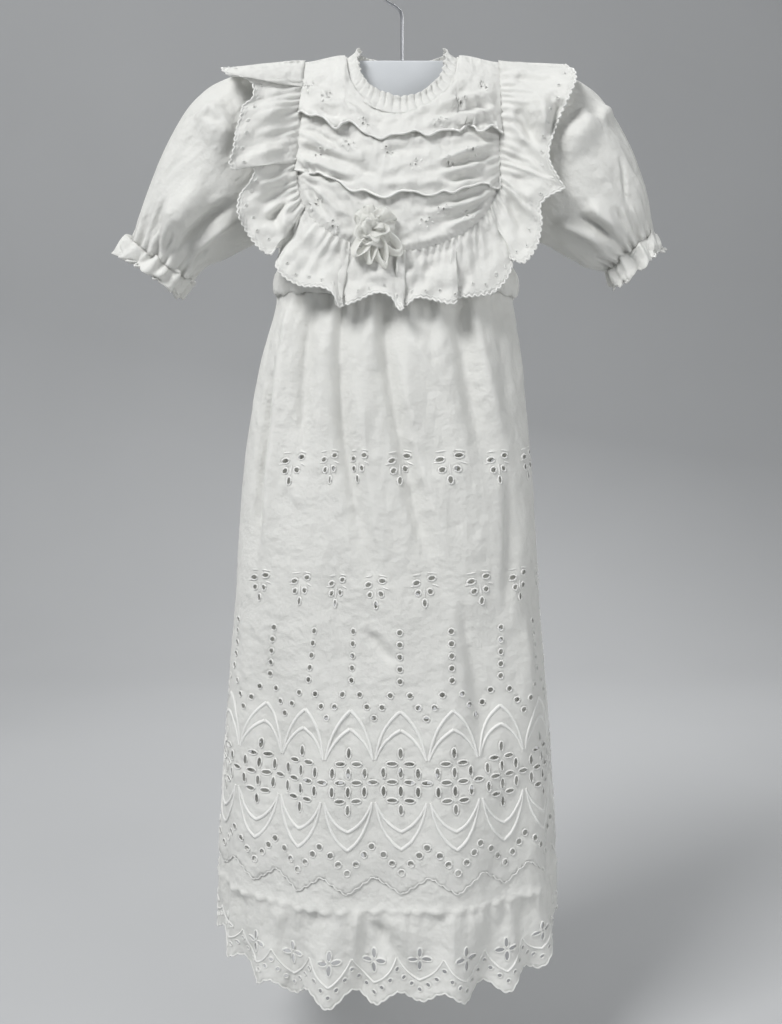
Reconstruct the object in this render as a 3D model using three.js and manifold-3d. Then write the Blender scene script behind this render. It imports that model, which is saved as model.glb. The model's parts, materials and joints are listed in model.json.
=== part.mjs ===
// Christening gown of white cotton broderie anglaise on a plain child's hanger.
// Millimetres, +Z up, the front faces -Y and left is -X.
// The origin is under the top of the hook's crook, where a rail carries it.

import * as THREE from "three";
import { mergeVertices } from "three/addons/utils/BufferGeometryUtils.js";
import Module from "manifold-3d";

const wasm = await Module();
wasm.setup();

// Cloth and levels
const CLOTH = 1.2; // wall of every cotton piece
const SEAM_GAP = 0.3; // space left between pieces that are sewn together
const SIDE_GAP = 0.35; // each half's distance from the side and shoulder seams
const LAYER_GAP = 0.4; // space between a piece and the panel it lies on
const OVAL = 2.3; // roundness of the cross-sections, 2 would be an ellipse
const SHOULDER_Z = -70; // shoulder seam at the neck
const SHOULDER_FALL = 6; // drop of that seam towards the sleeve
const UNDERARM_Z = -222;
const WAIST_Z = -284;
const SKIRT_EDGE_Z = -784; // middle of the skirt's zigzag edge
const FLOUNCE_TOP_Z = -766;
const FLOUNCE_SEAM_Z = -807;
const HEM_Z = -882; // middle of the flounce's scalloped edge

// Centre line of the gown, which hangs a little to the left of the hook
const CENTRE = [
  { z: -72, x: 0 },
  { z: -200, x: -4 },
  { z: -284, x: -6.5 },
  { z: -407, x: -12 },
  { z: -520, x: -13 },
  { z: -900, x: -12.5 },
];

// Bodice, by the drop below the shoulder seam
const BODICE_HALF = 105;
const NECK_HALF = 48;
const NECK_Z = -72;
const NECK_DROP_FRONT = 52;
const NECK_DROP_BACK = 16;
const ARMHOLE_X = 88;
const BODICE = [
  { drop: 0, front: 0.9, back: 0.9 },
  { drop: 2.5, front: 6.5, back: 5.5 },
  { drop: 9, front: 12, back: 9.5 },
  { drop: 22, front: 20, back: 15 },
  { drop: 50, front: 33, back: 24 },
  { drop: 95, front: 47, back: 33 },
  { drop: 150, front: 57, back: 39 },
  { drop: 190, front: 57, back: 41 },
  { drop: 214, front: 54, back: 40 },
];

// Skirt and flounce sections
const SKIRT = [
  { z: -284, half: 105, front: 54, back: 40 },
  { z: -334, half: 117, front: 67, back: 51 },
  { z: -407, half: 128, front: 78, back: 62 },
  { z: -480, half: 135, front: 87, back: 70 },
  { z: -555, half: 140, front: 94, back: 76 },
  { z: -632, half: 147, front: 100, back: 82 },
  { z: -709, half: 154, front: 106, back: 88 },
  { z: -788, half: 160, front: 112, back: 94 },
  { z: -900, half: 163, front: 119, back: 101 },
];
const SKIRT_ROWS = [-284.3, -300, -335, -412, -450, -515, -554, -630, -710, SKIRT_EDGE_Z];
const FLOUNCE_ROWS = [FLOUNCE_TOP_Z, -796, FLOUNCE_SEAM_Z, -861, HEM_Z];

// Large folds of the skirt: where they start and end across the half width, and how deep and wide they are
const FOLDS = [
  { side: -1, from: -0.46, to: 0.18, top: -284, end: -665, depth: 10, width: 15 },
  { side: -1, from: -0.08, to: 0.31, top: -284, end: -530, depth: 7, width: 11 },
  { side: -1, from: 0.57, to: 0.66, top: -284, end: -440, depth: 7, width: 11 },
  { side: -1, from: -0.77, to: -0.55, top: -284, end: -450, depth: 6, width: 13 },
  { side: -1, from: -0.94, to: -0.84, top: -330, end: -570, depth: 9, width: 14 },
  { side: -1, from: 0.5, to: 0.58, top: -545, end: -690, depth: 5, width: 12 },
  { side: -1, from: 0.86, to: 0.8, top: -420, end: -660, depth: 5, width: 14 },
  { side: 1, from: -0.5, to: -0.25, top: -284, end: -600, depth: 9, width: 14 },
  { side: 1, from: 0.05, to: 0.2, top: -284, end: -520, depth: 7, width: 12 },
  { side: 1, from: 0.6, to: 0.5, top: -284, end: -640, depth: 9, width: 14 },
  { side: 1, from: -0.85, to: -0.75, top: -330, end: -560, depth: 6, width: 13 },
];
const GATHERS = 9; // gathers at the waist, each half
const GATHER_DEPTH = 2.2;
const GATHER_REACH = 55; // distance below the waist over which they fade
const SWELLS = 4; // broad waves of the skirt's lower edge, each half
const SWELL_DEPTH = 4;
const WAVES = 8; // waves of the gathered flounce, each half
const WAVE_DEPTH = 6.5;

// Cutwork of the skirt and flounce
const REPEATS = 9; // embroidery repeats across each skirt half
const REPEAT_PHASE = 0.25;
const ZIGZAG = 8.5; // height of the skirt's zigzag edge above and below its middle
const SPRIG_ROWS = [
  { row: 3, z: -421, shift: 0 },
  { row: 5, z: -524, shift: 0.5 },
];
const SPRIG = [
  { across: -5.4, down: 0, long: 4.6, wide: 6.6, sides: 5 },
  { across: 5.4, down: 0, long: 4.6, wide: 6.6, sides: 5 },
  { across: -4.8, down: 10, long: 5.2, wide: 5.2, sides: 4 },
  { across: 4.8, down: 10, long: 5.2, wide: 5.2, sides: 4 },
  { across: 0, down: 19.5, long: 7, wide: 5.2, sides: 4 },
];
const FLOWERS = 12; // flowers across each flounce half
const FLOWER_Z = -845;
const FLOWER_PHASE = 0.125;
const FLOWER_ROW = 2;
const FLOWER_RADIUS = 7.2;
const PETALS = 4;
const PETAL = { long: 8.6, wide: 4.8, sides: 5 };
const SCALLOP = 6; // height of the hem's scallops

// Yoke tiers: frills across the U of the yoke, each under the edge of the one above
const YOKE_HALF = 85.5;
const YOKE_TURN_Z = -180; // where the straight sides of the U end
const YOKE_DROP = 63; // depth of the round below that
const TIERS = [
  { edge: -131, sag: 22, overlap: 0, scallops: 9 },
  { edge: -180, sag: 17, overlap: 9, scallops: 9 },
  { edge: -243, sag: 0, overlap: 9, scallops: 0 },
];
const TIER_LIFT = 3.6; // how far a tier's free edge stands off

// Ruffle round the yoke: lobes by their place along the seam, from the left shoulder to the right
const LOBES = [
  { along: 2, reach: 63, lift: 2 },
  { along: 46, reach: 47, lift: 10 },
  { along: 86, reach: 53, lift: 12 },
  { along: 126, reach: 51, lift: 12 },
  { along: 163, reach: 50, lift: 13 },
  { along: 197, reach: 43, lift: 12 },
  { along: 230, reach: 41, lift: 12 },
  { along: 263, reach: 43, lift: 12 },
  { along: 298, reach: 51, lift: 13 },
  { along: 332, reach: 42, lift: 10 },
  { along: 366, reach: 49, lift: 12 },
  { along: 402, reach: 54, lift: 10 },
  { along: 440, reach: 62, lift: 2 },
];
const RUFFLE_LEAN = 9; // how far the ruffle stands forward of its seam at the edge
const RUFFLE_ROWS = 2;

// Puff sleeves: a row for each section, by its upper and under ends seen from the front
const SLEEVE = [
  { topX: 118, topZ: -79, underX: 109, underZ: -224, front: 31, back: 23 },
  { topX: 153, topZ: -90, underX: 120, underZ: -228, front: 38, back: 28 },
  { topX: 175, topZ: -103, underX: 133, underZ: -232.5, front: 42, back: 32 },
  { topX: 193, topZ: -125, underX: 146, underZ: -238.5, front: 43, back: 33 },
  { topX: 210, topZ: -157, underX: 159, underZ: -245, front: 40, back: 32 },
  { topX: 222, topZ: -190, underX: 171, underZ: -251, front: 34, back: 28 },
  { topX: 227, topZ: -221, underX: 183, underZ: -257, front: 24, back: 20 },
];
const CUFF = { topX: 242, topZ: -243, underX: 199, underZ: -275, front: 30, back: 26 };
const CUFF_WAVES = 10;
const CUFF_WAVE_DEPTH = 2.8;

// Standing collar
const COLLAR_HEIGHT = 16;
const COLLAR_LEAN = 0.5; // inward lean for each millimetre of height
const COLLAR_PLEATS = 30;
const COLLAR_PLEAT_DEPTH = 0.9;

// Centre back opening
const PLACKET = 8; // half the overlap of the back edges
const PLACKET_RISE = CLOTH + LAYER_GAP;
const BUTTON_RADIUS = 5;
const BUTTON_THICK = 2.4;
const BUTTON_LEVELS = [-112, -180, -250];

// Ribbon rosette
const ROSETTE = { x: -15, z: -231, out: 6 };
const LOOPS = [
  { turn: 25, length: 13, width: 8.2 },
  { turn: 90, length: 12, width: 8.2 },
  { turn: 155, length: 13, width: 8.2 },
  { turn: 212, length: 18, width: 6.4 },
  { turn: 270, length: 20, width: 6.4 },
  { turn: 322, length: 21, width: 6.4 },
];
const LOOP_INNER = 8.9; // distance from the rosette's middle to its loops
const LOOP_HEIGHT = 6.5;
const RIBBON_WALL = 1.1;
const BUD = [
  { radius: 5, rise: -2.4 },
  { radius: 8.7, rise: 2 },
  { radius: 8, rise: 7 },
  { radius: 4.5, rise: 9.5 },
];

// Hanger
const HANGER_THICK = 4.4;
const HANGER_HALF = 128;
const HANGER_MIDDLE = 42; // half length of the straight top edge seen in the neck
const HANGER_TOP_Z = -72;
const HANGER_SINK = 3.2; // its top edge below the shoulder seams
const HANGER_DEEP = 40;
const HANGER_TIP_DEEP = 13;
const WIRE = 2.6; // hook wire diameter
const CROOK_RADIUS = 17; // to the middle of the wire
const CROOK_TIP = 0.35; // how far past level the crook comes down, in radians
const SHANK_BEND = 14; // height over which the wire swings out from the shank

const mix = THREE.MathUtils.lerp;
const ease = (t) => THREE.MathUtils.smoothstep(t, 0, 1);
const vec = (x, y, z) => new THREE.Vector3(x, y, z);

// Smooth curve through one column of a table whose rows follow a key column.
function curve(table, key, column, at) {
  const way = Math.sign(table[1][key] - table[0][key]);
  let i = 0;
  while (i < table.length - 2 && way * (at - table[i + 1][key]) > 0) {
    i += 1;
  }
  const slope = (j) => {
    const a = table[Math.max(j - 1, 0)];
    const b = table[Math.min(j + 1, table.length - 1)];
    return (b[column] - a[column]) / (b[key] - a[key]);
  };
  const step = table[i + 1][key] - table[i][key];
  const t = THREE.MathUtils.clamp((at - table[i][key]) / step, 0, 1);
  const p = table[i][column];
  const q = table[i + 1][column];
  const turn = t * t * (3 - 2 * t);
  const start = t * (1 - t) * (1 - t) * step * slope(i);
  const end = t * t * (t - 1) * step * slope(i + 1);
  return mix(p, q, turn) + start + end;
}

const centre = (z) => curve(CENTRE, "z", "x", z);
const ovalSin = (a) => Math.sign(Math.sin(a)) * Math.abs(Math.sin(a)) ** (2 / OVAL);
const ovalCos = (a) => Math.abs(Math.cos(a)) ** (2 / OVAL);
const ovalAngle = (across) => Math.sign(across) * Math.asin(Math.abs(across) ** (OVAL / 2));

// Closed shell of a cloth piece from a grid of points on its outer side.
// `facing` is the outward way at the grid's middle row, first column for a ring, middle column otherwise.
// A window is a block of the grid with holes in it: `flat` gives the grid's places in the flat cloth
// and `place` lays a flat place on the piece.
function shell({ rows, cols, point, facing, ring = false, flat, place, windows = [] }) {
  const wide = ring ? cols : cols + 1;
  const grid = [];
  for (let r = 0; r <= rows; r += 1) {
    grid.push(Array.from({ length: wide }, (_, c) => (place ? place(flat(r, c)) : point(r, c))));
  }
  const at = (r, c) => grid[THREE.MathUtils.clamp(r, 0, rows)]
    [ring ? (c + wide) % wide : THREE.MathUtils.clamp(c, 0, cols)];
  const normal = (r, c) => {
    const across = at(r, c + 1).clone().sub(at(r, c - 1));
    const down = at(r + 1, c).clone().sub(at(r - 1, c));
    return across.cross(down).normalize();
  };
  const flatNormal = (spot) => {
    const step = (x, y) => place(new THREE.Vector2(spot.x + x, spot.y + y));
    const across = step(1, 0).sub(step(-1, 0));
    const down = step(0, -1).sub(step(0, 1));
    return across.cross(down).normalize();
  };
  const probe = normal(Math.round(rows / 2), ring ? 0 : Math.round(cols / 2));
  const way = Math.sign(probe.dot(facing));
  const inside = (p, n) => p.clone().addScaledVector(n, -way * CLOTH);
  const outer = grid.flat();
  const inner = grid.flatMap((line, r) => line.map((p, c) => inside(p, normal(r, c))));
  const id = (r, c) => r * wide + (ring ? c % wide : c);
  const openings = windows.map(({ holes, ...block }) => ({
    ...block,
    rings: holes.map((hole) => hole.map((spot) => {
      const p = place(spot);
      inner.push(inside(p, flatNormal(spot)));
      return { spot, id: outer.push(p) - 1 };
    })),
  }));
  const half = outer.length;
  const faces = [];
  const triangle = (a, b, c) => faces.push(a, ...(way > 0 ? [b, c] : [c, b]));
  const quad = (a, b, c, d) => {
    triangle(a, b, c);
    triangle(a, c, d);
  };
  const bothSides = (a, b, c) => {
    triangle(a, b, c);
    triangle(half + a, half + c, half + b);
  };
  const covered = new Set();
  for (const { row, col, down, across, rings } of openings) {
    for (let i = 0; i < down * across; i += 1) {
      covered.add(id(row + Math.floor(i / across), col + i % across));
    }
    const rim = [
      ...Array.from({ length: across }, (_, i) => [row, col + i]),
      ...Array.from({ length: down }, (_, i) => [row + i, col + across]),
      ...Array.from({ length: across }, (_, i) => [row + down, col + across - i]),
      ...Array.from({ length: down }, (_, i) => [row + down - i, col]),
    ];
    const ids = [...rim.map(([r, c]) => id(r, c)), ...rings.flat().map((spot) => spot.id)];
    const spots = [...rim.map(([r, c]) => flat(r, c)), ...rings.flat().map((spot) => spot.spot)];
    const contour = spots.slice(0, rim.length);
    const holes = rings.map((ringSpots) => ringSpots.map((spot) => spot.spot));
    for (const [a, b, c] of THREE.ShapeUtils.triangulateShape(contour, holes)) {
      const clockwise = THREE.ShapeUtils.area([spots[a], spots[b], spots[c]]) < 0;
      bothSides(ids[a], ids[clockwise ? b : c], ids[clockwise ? c : b]);
    }
    for (const edge of rings) {
      edge.forEach((spot, i) => {
        const next = edge[(i + 1) % edge.length].id;
        quad(next, spot.id, half + spot.id, half + next);
      });
    }
  }
  for (let r = 0; r < rows; r += 1) {
    for (let c = 0; c < cols; c += 1) {
      if (!covered.has(id(r, c))) {
        bothSides(id(r, c), id(r, c + 1), id(r + 1, c + 1));
        bothSides(id(r, c), id(r + 1, c + 1), id(r + 1, c));
      }
    }
  }
  for (let c = 0; c < cols; c += 1) {
    quad(half + id(0, c), half + id(0, c + 1), id(0, c + 1), id(0, c));
    quad(id(rows, c), id(rows, c + 1), half + id(rows, c + 1), half + id(rows, c));
  }
  for (let r = 0; r < rows && !ring; r += 1) {
    quad(half + id(r, 0), id(r, 0), id(r + 1, 0), half + id(r + 1, 0));
    quad(id(r, cols), half + id(r, cols), half + id(r + 1, cols), id(r + 1, cols));
  }
  const geometry = new THREE.BufferGeometry().setFromPoints([...outer, ...inner]);
  geometry.setIndex(faces);
  return geometry;
}

function solidOf(geometry) {
  const plain = geometry.clone();
  plain.deleteAttribute("normal");
  plain.deleteAttribute("uv");
  const merged = mergeVertices(plain, 1e-4);
  return new wasm.Manifold(new wasm.Mesh({
    numProp: 3,
    vertProperties: Float32Array.from(merged.attributes.position.array),
    triVerts: Uint32Array.from(merged.index.array),
  }));
}

function cut(geometry, cutters) {
  const kept = solidOf(geometry).subtract(wasm.Manifold.union(cutters.map(solidOf))).getMesh();
  const result = new THREE.BufferGeometry();
  result.setAttribute("position", new THREE.BufferAttribute(Float32Array.from(kept.vertProperties), 3));
  result.setIndex(Array.from(kept.triVerts));
  return result;
}

// Upright shape seen from the front, run through the gown from front to back.
function through(outline) {
  const shape = new THREE.Shape(outline.map(([x, z]) => new THREE.Vector2(x, z)));
  const geometry = new THREE.ExtrudeGeometry(shape, { depth: 300, bevelEnabled: false });
  return geometry.rotateX(Math.PI / 2).translate(0, 150, 0);
}

// Bodice surface
const shoulderZ = (x) => (
  SHOULDER_Z - SHOULDER_FALL * ease((Math.abs(x) - NECK_HALF) / (ARMHOLE_X - NECK_HALF))
);
const bodiceDrop = SHOULDER_Z - WAIST_Z;

function bodiceY(x, z, side) {
  const top = shoulderZ(x);
  const drop = (top - z) / (top - WAIST_Z) * bodiceDrop;
  const round = Math.max(0, 1 - Math.abs(x / BODICE_HALF) ** OVAL) ** (1 / OVAL);
  return side * curve(BODICE, "drop", side < 0 ? "front" : "back", drop) * round;
}

// Point of the bodice at x from its centre line, moved outward.
function bodicePoint(x, z, side, out) {
  const d = 0.5;
  const slopeX = (bodiceY(x + d, z, side) - bodiceY(x - d, z, side)) / (2 * d);
  const slopeZ = (bodiceY(x, z + d, side) - bodiceY(x, z - d, side)) / (2 * d);
  const normal = vec(-slopeX, 1, -slopeZ).multiplyScalar(side).normalize();
  return vec(centre(z) + x, bodiceY(x, z, side), z).addScaledVector(normal, out);
}

const armholeX = (z) => (
  mix(ARMHOLE_X, BODICE_HALF, THREE.MathUtils.clamp((-178 - z) / (-178 - UNDERARM_Z), 0, 1) ** 2)
);

function armholeCutter(way) {
  const steps = 14;
  const edge = Array.from({ length: steps + 1 }, (_, i) => {
    const z = mix(-60, UNDERARM_Z, i / steps);
    return [centre(z) + way * armholeX(z), z];
  });
  return through([[way * 160, -60], ...edge, [way * 160, UNDERARM_Z]]);
}

function neckCutter(drop) {
  const steps = 20;
  const edge = Array.from({ length: steps + 1 }, (_, i) => {
    const a = Math.PI * (1 + i / steps);
    const z = NECK_Z + drop * Math.sin(a);
    return [centre(z) + NECK_HALF * Math.cos(a), z];
  });
  return through([[-NECK_HALF, -40], ...edge, [NECK_HALF, -40]]);
}

// Places across the bodice, at even turns round its oval
function spread(from, to, count) {
  const first = ovalAngle(from / BODICE_HALF);
  const last = ovalAngle(to / BODICE_HALF);
  return Array.from({ length: count + 1 }, (_, i) => BODICE_HALF * ovalSin(mix(first, last, i / count)));
}

function bodicePanel({ side, across, rise }) {
  const blank = shell({
    rows: BODICE.length - 1,
    cols: across.length - 1,
    facing: vec(0, side, 0),
    point: (r, c) => {
      const x = across[c];
      const a = ovalAngle(x / BODICE_HALF);
      const z = mix(shoulderZ(x), WAIST_Z, BODICE[r].drop / bodiceDrop);
      const depth = BODICE[r][side < 0 ? "front" : "back"] * ovalCos(a) + rise(x);
      return vec(centre(z) + x, side * (depth + SIDE_GAP), z);
    },
  });
  const neck = neckCutter(side < 0 ? NECK_DROP_FRONT : NECK_DROP_BACK);
  const armholes = [-1, 1].filter((way) => across.some((x) => way * x > ARMHOLE_X)).map(armholeCutter);
  return cut(blank, [neck, ...armholes]);
}

const bodiceFront = bodicePanel({
  side: -1,
  across: spread(-BODICE_HALF, BODICE_HALF, 14),
  rise: () => 0,
});
const bodiceBackLeft = bodicePanel({
  side: 1,
  across: [...spread(-BODICE_HALF, -3 * PLACKET, 5), -2 * PLACKET, -0.5 * PLACKET, PLACKET],
  rise: (x) => PLACKET_RISE * ease((x + 3 * PLACKET) / PLACKET),
});
const bodiceBackRight = bodicePanel({
  side: 1,
  across: [-PLACKET, ...spread(0.5 * PLACKET, BODICE_HALF, 6)],
  rise: () => 0,
});

// Buttons lie on the outer back edge, at its middle.
function button(z) {
  const p = bodicePoint(0, z, 1, 0);
  const q = bodicePoint(0, z - 1, 1, 0);
  const tilt = Math.atan2(q.y - p.y, 1);
  const disc = new THREE.CylinderGeometry(BUTTON_RADIUS, BUTTON_RADIUS, BUTTON_THICK, 12);
  const out = PLACKET_RISE + LAYER_GAP + SIDE_GAP + BUTTON_THICK / 2;
  return disc.rotateX(tilt).translate(p.x, p.y + out, p.z);
}

// Standing collar round the neck edge, open at the centre back
function neckPoint(a) {
  const front = Math.cos(a) > 0;
  const half = NECK_HALF - 0.9;
  const x = half * Math.sin(a);
  const drop = (front ? NECK_DROP_FRONT : NECK_DROP_BACK) - 0.9;
  const z = NECK_Z - drop * Math.abs(Math.cos(a));
  return vec(centre(z) + x, bodiceY(x, z, front ? -1 : 1), z);
}

const collarCols = COLLAR_PLEATS * 2;
const collarGap = 0.014; // half the open slit at the back, in radians
const collar = shell({
  rows: 1,
  cols: collarCols,
  facing: vec(0, -1, 0),
  point: (r, c) => {
    const a = mix(-Math.PI + collarGap, Math.PI - collarGap, c / collarCols);
    const foot = neckPoint(a);
    const inward = vec(-Math.sin(a), Math.cos(a), 0);
    const up = COLLAR_HEIGHT * (0.82 + 0.18 * Math.abs(Math.cos(a))) * r;
    const pleat = COLLAR_PLEAT_DEPTH * Math.cos(c * Math.PI) * (0.3 + 0.7 * r);
    return foot.addScaledVector(inward, up * COLLAR_LEAN + pleat).add(vec(0, 0, up * 0.87 + 0.6));
  },
});

// Yoke tiers lie on the bodice front inside the U.
const yokeZ = (x) => YOKE_TURN_Z - YOKE_DROP * Math.sqrt(Math.max(0, 1 - (x / YOKE_HALF) ** 2));
const tierEdge = (k, x) => Math.max(TIERS[k].edge - TIERS[k].sag * Math.cos(x / YOKE_HALF * 1.35), yokeZ(x) + 0.5);

function yokeTier(k) {
  const { overlap, scallops } = TIERS[k];
  const cols = 18;
  const rows = 2;
  return shell({
    rows,
    cols,
    facing: vec(0, -1, 0),
    point: (r, c) => {
      const x = YOKE_HALF * 0.985 * Math.sin((c / cols - 0.5) * Math.PI * 0.94) / Math.sin(Math.PI * 0.47);
      const neck = NECK_Z - 5 - (NECK_DROP_FRONT + 2) * Math.sqrt(Math.max(0, 1 - (x / (NECK_HALF + 6)) ** 2));
      const top = k === 0 ? Math.min(neck, shoulderZ(x) - 8) : tierEdge(k - 1, x) + overlap;
      const last = k === TIERS.length - 1;
      const scallop = scallops ? 2 * Math.cos(c * Math.PI) : 0;
      const foot = last ? yokeZ(x) + 1.2 : tierEdge(k, x) + scallop;
      const v = r / rows;
      const out = CLOTH + 2 * LAYER_GAP + SIDE_GAP + (last ? 0.6 : TIER_LIFT) * v ** 1.4;
      return bodicePoint(x, mix(top, Math.min(foot, top - 2), v), -1, out);
    },
  });
}

// Ruffle seam: down the left of the U, round its foot and up the right
const yokeSide = -YOKE_TURN_Z - 77;
const yokeRound = Math.PI * Math.sqrt((YOKE_HALF ** 2 + YOKE_DROP ** 2) / 2);

function ruffleSeam(along) {
  const half = YOKE_HALF + 0.8;
  if (along < yokeSide) {
    return { x: -half, z: -77 - along, outX: -1, outZ: 0 };
  }
  if (along > yokeSide + yokeRound) {
    return { x: half, z: YOKE_TURN_Z + along - yokeSide - yokeRound, outX: 1, outZ: 0 };
  }
  const a = Math.PI * (along - yokeSide) / yokeRound;
  const out = new THREE.Vector2(-Math.cos(a) / YOKE_HALF, -Math.sin(a) / YOKE_DROP).normalize();
  return {
    x: -half * Math.cos(a),
    z: YOKE_TURN_Z - (YOKE_DROP + 0.8) * Math.sin(a),
    outX: out.x,
    outZ: out.y,
  };
}

// Front of the puffed sleeve under the ruffle's edge
const sleeveFrontY = (z) => -46 * Math.sqrt(Math.max(0, 1 - ((z + 158) / 80) ** 2));

const ruffleSteps = 4; // columns from one lobe to the next
const ruffleCols = (LOBES.length - 1) * ruffleSteps;
const ruffle = shell({
  rows: RUFFLE_ROWS,
  cols: ruffleCols,
  facing: vec(0, -1, 0),
  point: (r, c) => {
    const i = Math.min(Math.floor(c / ruffleSteps), LOBES.length - 2);
    const k = c / ruffleSteps - i;
    const crest = 0.5 + 0.5 * Math.cos(2 * Math.PI * k);
    const value = (name) => mix(LOBES[i][name], LOBES[i + 1][name], ease(k));
    const seam = ruffleSeam(mix(LOBES[i].along, LOBES[i + 1].along, k));
    const v = r / RUFFLE_ROWS;
    const reach = (value("reach") - 5 * (1 - crest)) * v;
    const root = bodicePoint(seam.x, seam.z, -1, CLOTH + LAYER_GAP + SIDE_GAP);
    const side = Math.abs(seam.outX);
    const rest = Math.min(root.y - RUFFLE_LEAN, mix(root.y - RUFFLE_LEAN, sleeveFrontY(seam.z) - 5, side));
    const y = mix(root.y, rest, v ** 0.9) - value("lift") * crest * v ** 1.2;
    const droop = 4 * v * side * ease((-76 - seam.z) / 30);
    return vec(root.x + seam.outX * reach, y, root.z + seam.outZ * reach - droop);
  },
});

// Sleeves: the first ring is the armhole, the rest follow the table.
const sleeveCols = 20;

function armholeRing(a, way) {
  const top = shoulderZ(ARMHOLE_X);
  const z = (top + UNDERARM_Z) / 2 + (top - UNDERARM_Z) / 2 * Math.cos(a);
  const x = armholeX(z);
  const y = Math.abs(Math.sin(a)) < 1e-6 ? 0 : bodiceY(x, z, -Math.sign(Math.sin(a)));
  return vec(centre(z) + way * (x + SEAM_GAP + LAYER_GAP), y, z);
}

function sectionRing(section, a, way, swell) {
  const middleX = (section.topX + section.underX) / 2;
  const middleZ = (section.topZ + section.underZ) / 2;
  const depth = Math.sin(a) > 0 ? section.front : section.back;
  const x = middleX + (section.topX - section.underX) / 2 * Math.cos(a) * swell;
  const z = middleZ + (section.topZ - section.underZ) / 2 * Math.cos(a) * swell;
  return vec(centre(middleZ) + way * x, -depth * Math.sin(a) * swell, z);
}

const sleeve = (way) => shell({
  rows: SLEEVE.length,
  cols: sleeveCols,
  ring: true,
  facing: vec(way * 0.8, 0, 0.6),
  point: (r, c) => {
    const a = 2 * Math.PI * c / sleeveCols;
    return r === 0 ? armholeRing(a, way) : sectionRing(SLEEVE[r - 1], a, way, 1);
  },
});

const cuffCols = CUFF_WAVES * 4;
const cuffFrill = (way) => shell({
  rows: 1,
  cols: cuffCols,
  ring: true,
  facing: vec(way * 0.8, 0, 0.6),
  point: (r, c) => {
    const a = 2 * Math.PI * c / cuffCols;
    const wave = 1 + CUFF_WAVE_DEPTH / CUFF.front * Math.cos(CUFF_WAVES * a);
    if (r === 1) {
      return sectionRing(CUFF, a, way, wave);
    }
    const end = SLEEVE[SLEEVE.length - 1];
    return sectionRing(end, a, way, 1).add(vec(way * 0.35, 0, -0.45));
  },
});

// Skirt surface. `share` runs from -1 at the left side seam to 1 at the right one, in equal lengths of cloth.
const HALF_STEPS = 180;
const MIDDLE = { half: 148, front: 101, back: 83 };

function shareTable(depth) {
  const lengths = [0];
  const spot = (i) => {
    const a = (i / HALF_STEPS - 0.5) * Math.PI;
    return new THREE.Vector2(MIDDLE.half * ovalSin(a), depth * ovalCos(a));
  };
  for (let i = 1; i <= HALF_STEPS; i += 1) {
    lengths.push(lengths[i - 1] + spot(i).distanceTo(spot(i - 1)));
  }
  return lengths.map((l) => 2 * l / lengths[HALF_STEPS] - 1);
}

const SHARES = { "-1": shareTable(MIDDLE.front), "1": shareTable(MIDDLE.back) };

function angleAt(share, side) {
  const shares = SHARES[side];
  let i = 0;
  while (i < HALF_STEPS - 1 && shares[i + 1] < share) {
    i += 1;
  }
  const k = (share - shares[i]) / (shares[i + 1] - shares[i]);
  return ((i + THREE.MathUtils.clamp(k, 0, 1)) / HALF_STEPS - 0.5) * Math.PI;
}

function shareAt(across, side) {
  const place = (ovalAngle(across) / Math.PI + 0.5) * HALF_STEPS;
  const i = Math.min(Math.floor(place), HALF_STEPS - 1);
  return mix(SHARES[side][i], SHARES[side][i + 1], place - i);
}

// Length of cloth for one step of `share`
function shareLength(z, side) {
  const half = curve(SKIRT, "z", "half", z);
  const deep = curve(SKIRT, "z", side < 0 ? "front" : "back", z);
  return 0.79 * (half + deep);
}

function foldDepth(share, z, side) {
  let depth = 0;
  for (const fold of FOLDS) {
    const k = (fold.top - z) / (fold.top - fold.end);
    if (fold.side === side && k >= 0 && k <= 1) {
      const away = (share - shareAt(mix(fold.from, fold.to, k), side)) * shareLength(z, side) / fold.width;
      const early = fold.top === WAIST_Z ? 1 : ease(k / 0.3);
      depth += fold.depth * early * ease((1 - k) / 0.6) * Math.exp(-away * away);
    }
  }
  return depth;
}

function skirtPoint(share, z, side, out) {
  const a = angleAt(share, side);
  const half = curve(SKIRT, "z", "half", z);
  const deep = curve(SKIRT, "z", side < 0 ? "front" : "back", z);
  const turn = side * Math.PI;
  const below = WAIST_Z - z;
  const gather = GATHER_DEPTH * Math.exp(-below / GATHER_REACH) * Math.cos(GATHERS * Math.PI * (share + 1));
  const swell = SWELL_DEPTH * ease((below - 250) / 300) * Math.cos(SWELLS * Math.PI * (share + 1) + turn);
  const flare = ease((FLOUNCE_SEAM_Z - z) / 70);
  const wave = WAVE_DEPTH * flare * Math.cos(WAVES * Math.PI * (share + 1));
  const settle = 1 - Math.abs(share) ** 12;
  const move = (gather + swell + wave - foldDepth(share, z, side)) * settle + out;
  const across = ovalSin(a);
  const forth = ovalCos(a);
  const normal = vec(Math.sign(across) * Math.abs(across) ** (OVAL - 1) / half, side * forth ** (OVAL - 1) / deep, 0);
  const p = vec(centre(z) + half * across, side * (deep * forth + SIDE_GAP), z);
  return p.addScaledVector(normal.normalize(), move);
}

// Flat cloth of the skirt and flounce: x follows the share, y is the level.
const FLAT_WIDTH = 200;
const flatSpot = (share, z) => new THREE.Vector2(share * FLAT_WIDTH, z);

// Outline of an eyelet, `long` up the cloth and `wide` across before it is turned.
function eyelet(share, z, { across, down, long, wide, sides }, turn = 0) {
  return Array.from({ length: sides }, (_, i) => {
    const a = 2 * Math.PI * i / sides;
    const x = wide / 2 * Math.cos(a);
    const y = long / 2 * Math.sin(a);
    const turnedX = across + x * Math.cos(turn) - y * Math.sin(turn);
    const turnedY = y * Math.cos(turn) + x * Math.sin(turn) - down;
    return flatSpot(share, z).add(new THREE.Vector2(turnedX, turnedY));
  });
}

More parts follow.
